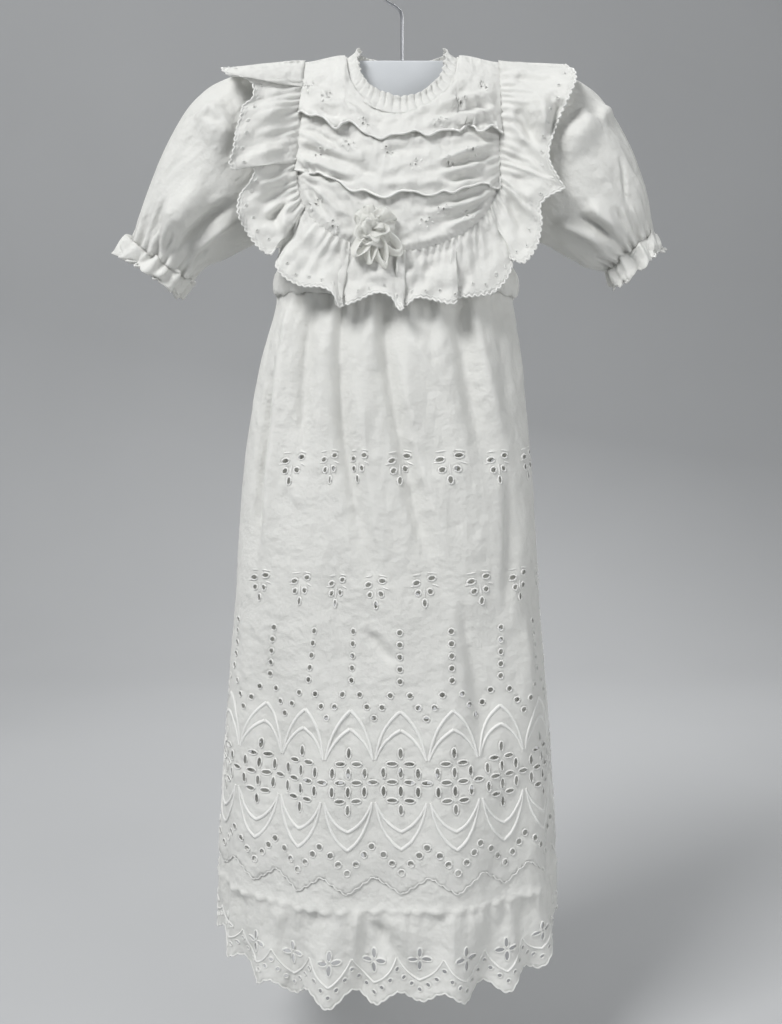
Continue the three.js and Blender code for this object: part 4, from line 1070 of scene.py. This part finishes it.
# Sleeves: short puffs of plain lawn, gathered into the armhole and drawn in by elastic at the cuff.
# The cloth stands off the shoulder, falls in a few long creases and crowds above the elastic.
SLEEVE = np.array((  # upper end x and z, under end x and z, depth in front and behind
    (118, -79, 109, -224, 31, 23),
    (153, -90, 120, -228, 38, 28),
    (175, -103, 133, -232.5, 42, 32),
    (193, -125, 146, -238.5, 43, 33),
    (210, -157, 159, -245, 40, 32),
    (222, -190, 171, -251, 34, 28),
))
ELASTIC = {-1: (236, -229, 185, -263, 25, 21), 1: (228, -222, 192, -254, 23, 20)}  # the same at the cuffs
SLEEVE_CREASES = {  # start and end as degrees round from the top and rows down, depth, width in degrees
    -1: ((38, 2.95, 88, 2.3, -11, 14), (52, 2.95, 72, 2.3, 5, 4), (80, 6.6, 108, 3.9, -12, 19),
         (70, 6.6, 66, 5.4, 3, 7), (110, 6.6, 123, 2.5, 7, 5.5), (130, 6.4, 135, 2.4, -8, 9),
         (72, 6.7, 80, 5.6, 3, 4), (146, 6.6, 142, 4.8, 2.5, 5), (96, 6.8, 98, 5.8, 3, 3.5),
         (-60, 1.5, -70, 5.5, -5, 13), (-110, 2.0, -95, 6.0, 4, 12), (-85, 3.5, -100, 6.5, -4, 8)),
    1: ((16, 3.7, 59, 3.0, -4.5, 6), (48, 3.15, 94, 2.2, -8, 11), (35, 3.3, 56, 2.7, 3, 4),
        (112, 3.9, 96, 6.4, -10, 9), (126, 3.7, 104, 6.5, 6, 4.5), (139, 2.6, 122, 6.3, -7, 8),
        (53, 4.4, 75, 5.6, 2.4, 3), (50, 4.9, 35, 6.6, -3, 3.5), (88, 5.2, 86, 6.7, 3, 4),
        (68, 5.6, 66, 6.8, -3, 3.5), (-55, 2.0, -62, 6.0, -5, 13), (-115, 1.5, -100, 5.5, 4, 12)),
}


def armhole_ring(a, way):
    top = shoulder_z(ARMHOLE)
    z = (top + UNDERARM) / 2 + (top - UNDERARM) / 2 * np.cos(a)
    x = armhole_x(z)
    y = np.where(np.sin(a) > 0, bodice_y(x, z, -1), bodice_y(x, z, 1))
    return np.stack([centre(z) + way * (x + 0.7), y, z], -1)


def section_ring(section, a, way, swell=1.0):
    """Ring round the arm through a section of the sleeve."""
    top_x, top_z, under_x, under_z, front, back = section
    middle_x, middle_z = (top_x + under_x) / 2, (top_z + under_z) / 2
    x = middle_x + (top_x - under_x) / 2 * np.cos(a) * swell
    z = middle_z + (top_z - under_z) / 2 * np.cos(a) * swell
    y = -np.where(np.sin(a) > 0, front, back) * np.sin(a) * swell
    return np.stack([centre(middle_z) + way * x, y, z + 0 * x], -1)


def elastic_ring(a, way, swell=1.0):
    """Ring where the elastic draws the sleeve in, gathered and a little crooked."""
    waver = around(a, 1.6, 79 + way)
    ring = section_ring(ELASTIC[way], a, way, swell * (1 + 0.05 * np.cos(19 * a + 3 * waver)))
    return ring + 2.4 * waver[..., None] * np.array((way * 0.55, 0, -0.83))


def grid_out(points):
    """Unit ways out of a grid that closes along its second axis."""
    across = np.roll(points, -1, 1) - np.roll(points, 1, 1)
    down = np.gradient(points, axis=0)
    normal = np.cross(across, down)
    return normal / np.linalg.norm(normal, axis=-1, keepdims=True)


def sleeve_cloth(name, way):
    cols, rows = 180, 84
    a = np.arange(cols) * math.tau / cols
    controls = [armhole_ring(a, way)] + [section_ring(s, a, way) for s in SLEEVE] + [elastic_ring(a, way)]
    controls = np.stack(controls)
    end = len(SLEEVE) + 1
    w = np.linspace(0, end, rows + 1)
    points = np.empty((rows + 1, cols, 3))
    for c in range(cols):
        for axis in range(3):
            points[:, c, axis] = smooth(np.arange(end + 1), controls[:, c, axis])(w)
    out = grid_out(points) * -way
    w, a = w[:, None], a[None, :]
    degrees = (np.degrees(a) + 180) % 360 - 180
    head = 1.5 * np.exp(-w / 0.8) * ease(w / 0.12) * (0.35 + 0.65 * ease(0.5 + np.cos(a)))
    head = head * np.cos(24 * a + 2 * around(a, 4, 71 + way))
    drawn = 2.6 * np.exp((w - end) / 0.45) * np.cos(20 * a + 2.4 * around(a, 3, 73 + way))
    drawn = drawn + 1.4 * np.exp(w - end) * np.cos(9 * a + 1.7 * way)
    soft = 1.5 * around(a, 1.2, 75 + way, 0.5 * w) + 0.6 * around(a, 3, 77 + way, 1.5 * w)
    settle = ease(w / 0.8) * ease((end - w) / 0.5)
    placed = creases(degrees, w, SLEEVE_CREASES[way], 17)
    height = head + drawn * ease((end + 0.04 - w) / 0.14) + settle * (soft + placed)
    points = points + out * height[..., None]
    return sew_grid(name, a * 70, w * 22, points, LAWN, ring=True)


sleeve_left = sleeve_cloth("sleeve_left_cloth", -1)
sleeve_right = sleeve_cloth("sleeve_right_cloth", 1)
for piece, node in ((sleeve_left, "sleeve_left"), (sleeve_right, "sleeve_right")):
    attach(piece, "root")
    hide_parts(node)


# Cuff frills: the ends of the sleeves below the elastic, which crowd into small rolled folds.
# The free edge is scalloped and bound with thread.
CUFF = {-1: (246, -243, 197, -277, 28, 24), 1: (237, -239, 199, -268, 26, 22)}  # as for the sleeves
CUFF_FOLDS = 9


def cuff_cloth(name, way):
    cols, rows = 300, 22
    a = (np.arange(cols) * math.tau / cols)[None, :]
    r = np.linspace(0, 1, rows + 1)[:, None]
    uneven = around(a, 1.5, 81 + way)
    turn = CUFF_FOLDS * a + 1.8 * uneven
    ruck = around(a, 3.4, 85 + way, 3 * r)
    small = around(a, 6, 87 + way, 5 * r)
    puff = np.sin(0.9 * math.pi * r ** 0.6)
    swell = puff * (0.15 + 0.08 * uneven + 0.08 * np.cos(turn)) + 0.15 * ruck + 0.06 * small
    swell = 1 + ease(r / 0.1) * swell
    back = np.exp(-((r - 0.17) / 0.12) ** 2) * (0.7 + 0.35 * np.cos(turn))
    along = np.sin(2.1 * r) * (0.95 + 0.16 * uneven)
    along = along + ease(r / 0.15) * (0.16 * ruck + 0.05 * small) - 0.42 * back
    angle = a + 0.5 / CUFF_FOLDS * np.sin(turn) * r
    first = np.stack([elastic_ring(angle[i], way, swell[i]) for i in range(rows + 1)])
    second = np.stack([section_ring(CUFF[way], angle[i], way, swell[i]) for i in range(rows + 1)])
    points = first + (second - first) * along[..., None] + np.array((way * 0.35, 0, -0.45))
    cloth = sew_grid(name, a * 55, r * 24, points, LAWN, thick=0.6, ring=True)
    return cloth, embroider(name.replace("cloth", "edge"), [(points[-1], True, 1.5)])


for side, way, sleeve in (("left", -1, sleeve_left), ("right", 1, sleeve_right)):
    cloth, edge = cuff_cloth(f"cuff_frill_{side}_cloth", way)
    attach(cloth, "root")
    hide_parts(f"cuff_frill_{side}")


# Skirt: front and back of eyelet cotton, gathered at the waist and falling in long uneven folds.
# Two rows of sprigs, columns of dots, and a border of double arches round a lattice of cut petals.
SKIRT_LEVELS = (-284, -334, -407, -480, -555, -632, -709, -788, -900)
skirt_half = smooth(SKIRT_LEVELS, (105, 117, 128, 135, 140, 147, 154, 160, 163))
skirt_depth = {
    -1: smooth(SKIRT_LEVELS, (54, 67, 78, 87, 94, 100, 106, 112, 119)),
    1: smooth(SKIRT_LEVELS, (40, 51, 62, 70, 76, 82, 88, 94, 101)),
}
FOLDS = {  # across the half width at the top, middle and end, levels of top and end, rise, width at both
    -1: (
        (-0.71, -0.64, -0.58, WAIST, -440, -9, 9, 10),
        (-0.45, -0.28, 0.02, WAIST, -560, -9, 5, 14),
        (-0.13, 0.10, 0.38, WAIST, -560, -10, 7, 13),
        (0.50, 0.57, 0.70, WAIST, -450, -9, 12, 17),
        (-0.83, -0.77, -0.78, WAIST, -560, 10, 7, 8),
        (-0.58, -0.51, -0.48, WAIST, -450, 5, 7, 10),
        (-0.30, -0.11, 0.15, -296, -600, 6, 8, 15),
        (-0.02, 0.22, 0.44, -300, -540, 6, 6, 12),
        (0.14, 0.26, 0.38, -312, -362, 4, 5, 6),
        (0.62, 0.69, 0.86, WAIST, -430, 8, 8, 12),
        (-0.89, -0.86, -0.85, -330, -520, -12, 6, 7),
        (0.14, 0.22, 0.30, -380, -440, -3, 5, 7),
        (0.80, 0.78, 0.74, -430, -560, -6, 6, 10),
        (-0.14, -0.04, 0.06, -562, -596, -5, 5, 6),
        (0.44, 0.52, 0.58, -520, -690, -6, 9, 14),
        (-0.40, -0.26, -0.20, -470, -720, -4, 12, 18),
        (0.86, 0.84, 0.80, -540, -700, 5, 10, 16),
        (-0.72, -0.70, -0.66, -560, -760, -4, 14, 18),
        (-0.94, -0.93, -0.92, -640, -1300, -10, 20, 26),
        (0.94, 0.93, 0.92, -640, -1300, -10, 20, 26),
    ),
    1: (
        (-0.50, -0.38, -0.25, WAIST, -600, -10, 7, 15),
        (0.05, 0.12, 0.20, WAIST, -520, -9, 6, 12),
        (0.60, 0.55, 0.48, WAIST, -640, -10, 8, 15),
        (-0.85, -0.80, -0.75, -310, -560, -7, 9, 14),
        (-0.32, -0.18, -0.02, -290, -560, 6, 7, 13),
        (0.36, 0.36, 0.38, WAIST, -500, 6, 7, 12),
        (-0.66, -0.58, -0.50, WAIST, -440, 5, 7, 10),
        (0.80, 0.76, 0.70, -290, -560, 6, 8, 13),
        (0.20, 0.30, 0.36, -480, -700, -5, 10, 15),
        (-0.10, -0.12, -0.18, -520, -720, 4, 12, 17),
    ),
}
REPEATS = 9
REPEAT_SHIFT = {-1: 0.25, 1: -0.25}  # of a repeat, in front and behind
TUCK = -807  # where the flounce is sewn on
FLAT = 200  # flat width of half a panel, its share from the middle to a side seam


def share_length(z, side):
    """Length of cloth for one step of share at a level."""
    return 0.79 * (skirt_half(z) + skirt_depth[side](z))


def fold_rise(share, z, side):
    """Height of the long folds, listed one by one."""
    height = np.zeros(np.broadcast(share, z).shape)
    angles, table = SHARES[side]
    for start, middle, stop, top, end, rise, wide, wider in FOLDS[side]:
        k = np.clip((top - z) / (top - end), 0, 1)
        across = start + k * (4 * middle - 3 * start - stop) + k * k * (2 * start + 2 * stop - 4 * middle)
        line = np.interp(oval_angle(across), angles, table)
        away = (share - line) * share_length(z, side) / mix(wide, wider, k)
        if rise < 0:
            away = np.where(away < 0, 1.7, 0.9) * away  # hollows are steeper on their left
        early = ease((WAIST - z + 6) / 34) if top == WAIST else ease(k / 0.3)
        height += rise * early * ease((1 - k) / 0.45) * np.exp(-np.abs(away) ** 1.6)
    return height


def drift(share, z, side):
    """Sideways pull of the cloth where it is bunched into the folds of the upper part."""
    left = 0.14 * ease((-share - 0.02) / 0.55) * ease((1 + share) / 0.3)
    right = 0.07 * ease((share - 0.15) / 0.35) * ease((1 - share) / 0.25)
    high = ease((z + 690) / 270)
    return mix(0.25, 1, high) * left + high * right if side < 0 else 0.5 * high * (right - left)


def skirt_point(share, z, side, out=0.0):
    """Points of the skirt at a share of its width and a level, moved outward."""
    angles, table = SHARES[side]
    share = share + drift(share, z, side)
    a = np.interp(share, table, angles)
    half, deep = skirt_half(z), skirt_depth[side](z)
    below = WAIST - z
    swell = 4 * ease((below - 250) / 300) * np.cos(4 * math.pi * (share + 1) + side * math.pi)
    flare = ease((TUCK - z) / 70)
    wave = 6.5 * flare * np.cos(8 * math.pi * (share + 1))
    cloth = share * share_length(z, side)
    soft = 1.3 * crumple(cloth / 26, z / 80, 92 + side) + 0.9 * crumple(cloth / 13, z / 30, 94 + side)
    soft += 0.45 * crumple(cloth / 6, z / 9, 96 + side)
    settle = 1 - np.abs(share) ** 12
    move = waist_gather(share, below, side) + swell + wave
    move = move + soft * ease(below / 20) + fold_rise(share, z, side)
    move = move * settle + out
    across, forth = oval_sin(a), oval_cos(a)
    level = np.sign(across) * np.abs(across) ** (ROUND - 1) / half
    normal = np.stack([level, side * forth ** (ROUND - 1) / deep, 0 * a], -1)
    normal /= np.linalg.norm(normal, axis=-1, keepdims=True)
    spot = np.stack([centre(z) + half * across, side * (deep * forth + SIDE_GAP), z + 0 * a], -1)
    return spot + normal * move[..., None]


class Panel:
    """A panel of the skirt with its cutwork, drawn in millimetres from each repeat's middle."""

    def __init__(self, side, place):
        self.side, self.place = side, place
        self.holes, self.paths = [], []

    def lay(self, share, x, z):
        """Flat places of points at x from a middle."""
        return np.stack([(share + x / share_length(z, self.side)) * FLAT, z + 0 * x], -1)

    def spot(self, flat, out):
        return self.place(flat[..., 0] / FLAT, flat[..., 1], out)

    def eyelet(self, share, x, z, wide, long, turn=0.0, rim=1.5):
        middle = self.lay(share, np.array(x), np.array(z, float))
        if abs(middle[0]) > FLAT * 0.975:
            return
        ring = oval(x, z, wide, long, turn)
        edge = oval(x, z, wide + 1.1, long + 1.1, turn)
        self.holes.append(self.lay(share, ring[:, 0], ring[:, 1]))
        self.paths.append((self.spot(self.lay(share, edge[:, 0], edge[:, 1]), 0.12), True, rim))

    def cord(self, share, x, z, thick):
        flat = self.lay(share, np.asarray(x, float), np.asarray(z, float))
        keep = np.abs(flat[:, 0]) < FLAT * 0.99
        if keep.sum() > 2:
            thick = np.broadcast_to(thick, len(keep))[keep]
            self.paths.append((self.spot(flat[keep], 0.5 - 0.3 * thick), False, thick))

    def made(self, name, top, edge, rows, count, pitch, within, bind):
        """Cloth and embroidery, from a level top to a shaped edge bound with a cord."""
        across = np.linspace(-1, 1, 481)
        level = edge(across, self.side)
        sides = np.linspace(top, level[0], rows)[1:-1]
        outline = strip_outline(-1, 1, top, count, across, level, sides) * (FLAT, 1)
        flat, faces = cut_cloth(outline, self.holes, pitch)
        cloth = sew(name, flat, faces, self.spot(flat, 0.0), EYELET_COTTON, within)
        sunk, thick = bind
        self.paths.append((self.place(across, level, -sunk), False, thick))
        return cloth, embroider(name.replace("cloth", "embroidery"), self.paths)


def bend(start, control, end, count):
    """Points of a curve that leaves the start towards the control point and comes to the end from it."""
    t = np.linspace(0, 1, count)[:, None]
    spots = (1 - t) ** 2 * np.array(start) + 2 * t * (1 - t) * np.array(control) + t * t * np.array(end)
    return spots[:, 0], spots[:, 1]


SPRIG = (  # across, down, wide, long, lean of each eyelet
    (-6.2, 2.0, 5.4, 3.7, 0.35),
    (6.2, -1.6, 5.4, 3.7, 0.10),
    (-4.9, 10.5, 3.7, 4.5, -0.6),
    (4.9, 9.5, 3.7, 4.5, 0.6),
    (0.4, 19.0, 2.9, 6.0, 0.0),
)
SPRIG_LEAVES = (  # across and up at both ends of each raised bar
    (-9, 4.5, -2.5, 5.5), (3, 6.5, 10, 5.5), (-11, -5, -6, -4), (6.5, -3.5, 11.5, -5.5), (0, -5, 0.4, -14),
)
LATTICE = (  # across, up, and whether the petal lies level
    (-7.3, 0, True), (7.3, 0, True), (21.5, 0, True),
    (-7.3, 16, True), (7.3, 16, True), (-7.3, -16, True), (7.3, -16, True),
    (-14.4, 8, False), (0, 8, False), (14.4, 8, False),
    (-14.4, -8, False), (0, -8, False), (14.4, -8, False),
    (0, 25, False), (0, -24, False),
)
BORDER = -694  # level of the lattice's middle


def leaf(panel, share, x0, z0, x1, z1, thick):
    """Short raised bar of satin stitch, fuller in its middle."""
    t = np.linspace(0, 1, 7)
    panel.cord(share, mix(x0, x1, t), mix(z0, z1, t), thick * (0.45 + 0.55 * np.sin(math.pi * t)))


def sprig(panel, share, z, lean):
    for across, down, wide, long, turn in SPRIG:
        panel.eyelet(share, across + lean * down, z - down, wide, long, turn, rim=1.5)
    for x0, z0, x1, z1 in SPRIG_LEAVES:
        leaf(panel, share, x0 - lean * z0, z + z0, x1 - lean * z1, z + z1, 1.7)


def border(panel, share):
    """One repeat of the border, from its column of dots to the skirt's edge."""
    for i in range(5):
        panel.eyelet(share, 0, -607 + 10.5 * i, 4.0, 4.4, rim=1.3)
    for x, z in ((8.2, -619), (15, -629.5), (21.5, -639)):
        for way in (-1, 1):
            if x < 20 or way > 0:
                panel.eyelet(share, way * x, z, 4.2, 4.2, rim=1.3)
    for across, up, level in LATTICE:
        panel.eyelet(share, across, BORDER + up, *((8.4, 3.4) if level else (3.4, 8.4)), rim=1.4)
    for way in (-1, 1):
        valley, dip = (way * 21.3, BORDER + 19), (way * 21.3, BORDER - 17)
        for start, peak, x, z in (
            (valley, 61, 17, 48), (valley, 45, 14, 38), (dip, -43, 14.5, -37), (dip, -59, 17.5, -48)):
            line = bend(start, (way * x, BORDER + z), (0, BORDER + peak), 18)
            panel.cord(share, *line, np.linspace(2.4, 3.9, 18))
    for x, z in ((21.5, -56), (15, -63), (8, -71), (0, -79)):
        for way in (-1, 1):
            if (x < 20 or way > 0) and (x > 0 or way > 0):
                panel.eyelet(share, way * x, BORDER + z, 5.0, 5.0, rim=1.3)


def skirt_edge(share, side):
    """Level of the skirt's zigzag edge with its small scallops."""
    phase = share * REPEATS / 2 - REPEAT_SHIFT[side]
    zigzag = 4 * np.abs((phase % 1) - 0.5) - 1
    scallop = np.abs(np.sin(share * REPEATS * 3.5 * math.pi - 3.5 * REPEAT_SHIFT[side] * math.pi))
    return -784 - 8.0 * zigzag - 1.8 * (scallop - 0.5)


def skirt_panel(name, side):
    panel = Panel(side, lambda share, z, out: skirt_point(share, z, side, out))
    rng = np.random.default_rng(101 + side)
    for k in range(-5, 6):
        share = (k + REPEAT_SHIFT[side]) * 2 / REPEATS
        for level, shift, reach in ((-418, 0, 0.8), (-523, 0.5, 0.93)):
            middle = share + shift * 2 / REPEATS
            if abs(middle) < reach:
                sprig(panel, middle, level + rng.uniform(-2, 2), rng.uniform(-0.12, 0.12))
        if abs(share) < 1.1:
            border(panel, share)
    return panel.made(name, WAIST - 0.3, skirt_edge, 160, 141, 3.1, (-12, 0, -550), bind=(0.2, 1.2))


skirt_front, front_border = skirt_panel("skirt_front_cloth", -1)
skirt_back, back_border = skirt_panel("skirt_back_cloth", 1)
for piece, node, stitched, rest in (
    (skirt_front, "skirt_front", front_border, bodice_front),
    (skirt_back, "skirt_back", back_border, bodice_back_left),
):
    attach(piece, "root")
    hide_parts(node)


# Flounce: a strip of eyelet edging in front and behind, sewn under the skirt's edge with a narrow tuck.
# It is gathered below the tuck and its hem is cut in deep scallops, each under a four-petalled flower.
FLOWERS = 11
FLOWER_SHIFT = {-1: 0.3, 1: -0.3}  # of a repeat, in front and behind
FLOWER_Z = -850
HEM = -882
FLOUNCE_TOP = -766  # hidden behind the skirt's edge
CORNER_LIFT = (21, 29)  # the hem is cut up towards the side seams, left and right
FLOUNCE_FOLDS = {  # share at the top and the end, levels of both, rise, width in millimetres
    -1: ((-0.47, -0.51, -806, -850, 5, 6), (-0.30, -0.34, -803, -842, -6, 12),
         (-0.125, -0.145, -803, -868, 5, 5),
         (-0.06, 0.07, -812, -862, -6, 7), (0.02, 0.10, -806, -850, 4, 7), (0.19, 0.20, -803, -862, -6, 8),
         (0.245, 0.25, -803, -870, 4, 4), (0.35, 0.36, -806, -850, 4, 8), (0.60, 0.56, -806, -860, -5, 8),
         (-0.68, -0.72, -806, -862, -5, 9), (0.78, 0.80, -806, -860, 4, 9)),
    1: ((-0.60, -0.62, -806, -862, -6, 9), (-0.35, -0.31, -806, -866, 5, 7),
        (-0.10, -0.06, -803, -850, -6, 9), (0.12, 0.10, -806, -868, 5, 6),
        (0.33, 0.36, -806, -860, -6, 8), (0.62, 0.60, -806, -866, 5, 8)),
}


def flounce_point(share, z, side, out=0.0):
    """Points of the flounce, laid on the skirt's form below its tuck."""
    lift = np.where(share < 0, *CORNER_LIFT) * ease((np.abs(share) - 0.45) / 0.55)
    z = z + lift * ease((TUCK - z) / (TUCK - HEM))
    under = 1.1 * ease((z - TUCK) / 10)
    tuck = 1.2 * np.exp(-((z - TUCK) / 2.2) ** 2)
    flare = ease((TUCK - z) / 45)
    uneven = 3.0 * flare * crumple(share * 7, z / 60, 111 + side)
    uneven = uneven + 1.5 * flare * crumple(share * 17, z / 28, 115 + side)
    for first, last, top, end, rise, width in FLOUNCE_FOLDS[side]:
        k = np.clip((top - z) / (top - end), 0, 1)
        away = (share - mix(first, last, k)) * share_length(z, side) / width
        fade = ease((top - z) / 14) * ease((end - 40 - z) / (end - 40 - top))
        uneven = uneven + rise * fade * np.exp(-np.abs(away) ** 1.8)
    crowd = np.cos(30 * math.pi * share + 2 * crumple(share * 12, 0 * z, 113))
    gather = 1.3 * np.exp((z - TUCK) / 16) * (z < TUCK) * crowd
    settle = 1 - np.abs(share) ** 12
    return skirt_point(share, z, side, (tuck + (uneven + gather) * settle) - under + out)


def flounce_edge(share, side):
    phase = share * FLOWERS / 2 + FLOWER_SHIFT[side]
    big = np.cos(math.tau * phase)
    small = np.abs(np.sin(math.pi * 6 * phase))
    return HEM - 5.5 * big - 1.5 * (small - 0.5)


def flower(panel, share):
    for i in range(4):
        turn = i * math.pi / 2
        panel.eyelet(share, -6.0 * math.sin(turn), FLOWER_Z + 6.0 * math.cos(turn), 3.6, 8.4, turn, rim=1.5)
    for way in (-1, 1):
        line = bend((way * 19.5, FLOWER_Z + 1), (way * 13, FLOWER_Z - 13), (0, FLOWER_Z - 20), 14)
        panel.cord(share, *line, np.linspace(1.6, 2.6, 14))
        for x, z in ((20.2, -8), (14, -16), (7, -22.5)):
            if x < 17 or way > 0:
                panel.eyelet(share, way * x, FLOWER_Z + z, 3.2, 3.2, rim=1.2)
    panel.eyelet(share, 0, FLOWER_Z - 28, 3.2, 3.2, rim=1.2)


def flounce_panel(name, side):
    panel = Panel(side, lambda share, z, out: flounce_point(share, z, side, out))
    for k in range(-7, 8):
        share = (k - FLOWER_SHIFT[side]) * 2 / FLOWERS
        if abs(share) < 1.05:
            flower(panel, share)
    return panel.made(name, FLOUNCE_TOP, flounce_edge, 50, 161, 2.4, (-12, 0, -820), bind=(0.1, 1.6))


flounce_front, front_hem = flounce_panel("flounce_front_cloth", -1)
flounce_back, back_hem = flounce_panel("flounce_back_cloth", 1)
for piece, node, stitched, rest in (
    (flounce_front, "flounce_front", front_hem, skirt_front),
    (flounce_back, "flounce_back", back_hem, skirt_back),
):
    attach(piece, "root")
    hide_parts(node)


# Studio: a plain pale floor that sweeps up behind the gown, a broad soft light from above on the left,
# a weaker one from the right and a faint one from behind. The camera stands where the photograph was taken.
FOCAL, PHOTO_HIGH = 1204, 1024  # in pixels of the photograph


def studio():
    finish = Finish("pale_grey_backdrop")
    cloud = finish.noise(2.5)
    finish.shade({
        "Base Color": finish.tint((0.42, 0.425, 0.43), (0.39, 0.395, 0.40), cloud),
        "Roughness": 0.9,
        "Specular IOR Level": 0.1,
    })
    a = np.radians(np.linspace(0, 90, 25))
    sweep = [(1400 + 900 * math.sin(t), -100 - 900 * math.cos(t)) for t in a]
    profile = [(-3500, -1000)] + sweep + [(2300, 2600)]
    points = [(x, y, z) for y, z in profile for x in (-4000, 4000)]
    faces = [(2 * i, 2 * i + 1, 2 * i + 3, 2 * i + 2) for i in range(len(profile) - 1)]
    floor = add_piece("floor", points, faces, finish)
    for name, place, size, power in (
        ("key", (-1.9, -1.9, 2.45), 1.3, 160),
        ("fill", (1.3, -1.3, -0.2), 1.4, 14),
        ("back", (0.3, 1.4, 0.6), 1.2, 22),
    ):
        light = bpy.data.lights.new(name, "AREA")
        light.energy, light.size = power, size
        lamp = bpy.data.objects.new(name, light)
        lamp.location = place
        lamp.rotation_euler = (Vector((0, 0, -0.45)) - Vector(place)).to_track_quat("-Z", "Y").to_euler()
        bpy.context.scene.collection.objects.link(lamp)
    world = bpy.data.worlds.new("studio")
    world.use_nodes = True
    world.node_tree.nodes["Background"].inputs["Color"].default_value = (0.9, 0.95, 1.0, 1)
    world.node_tree.nodes["Background"].inputs["Strength"].default_value = 0.2
    bpy.context.scene.world = world
    camera = bpy.data.cameras.new("camera")
    camera.sensor_width, camera.lens = 36, 36 * FOCAL / PHOTO_HIGH
    view = bpy.data.objects.new("camera", camera)
    view.location = (-0.0097, -1.1, -0.338)
    view.rotation_euler = (math.radians(83), 0, 0)
    bpy.context.scene.collection.objects.link(view)
    bpy.context.scene.camera = view
    bpy.context.scene.view_settings.view_transform = "Standard"


studio()
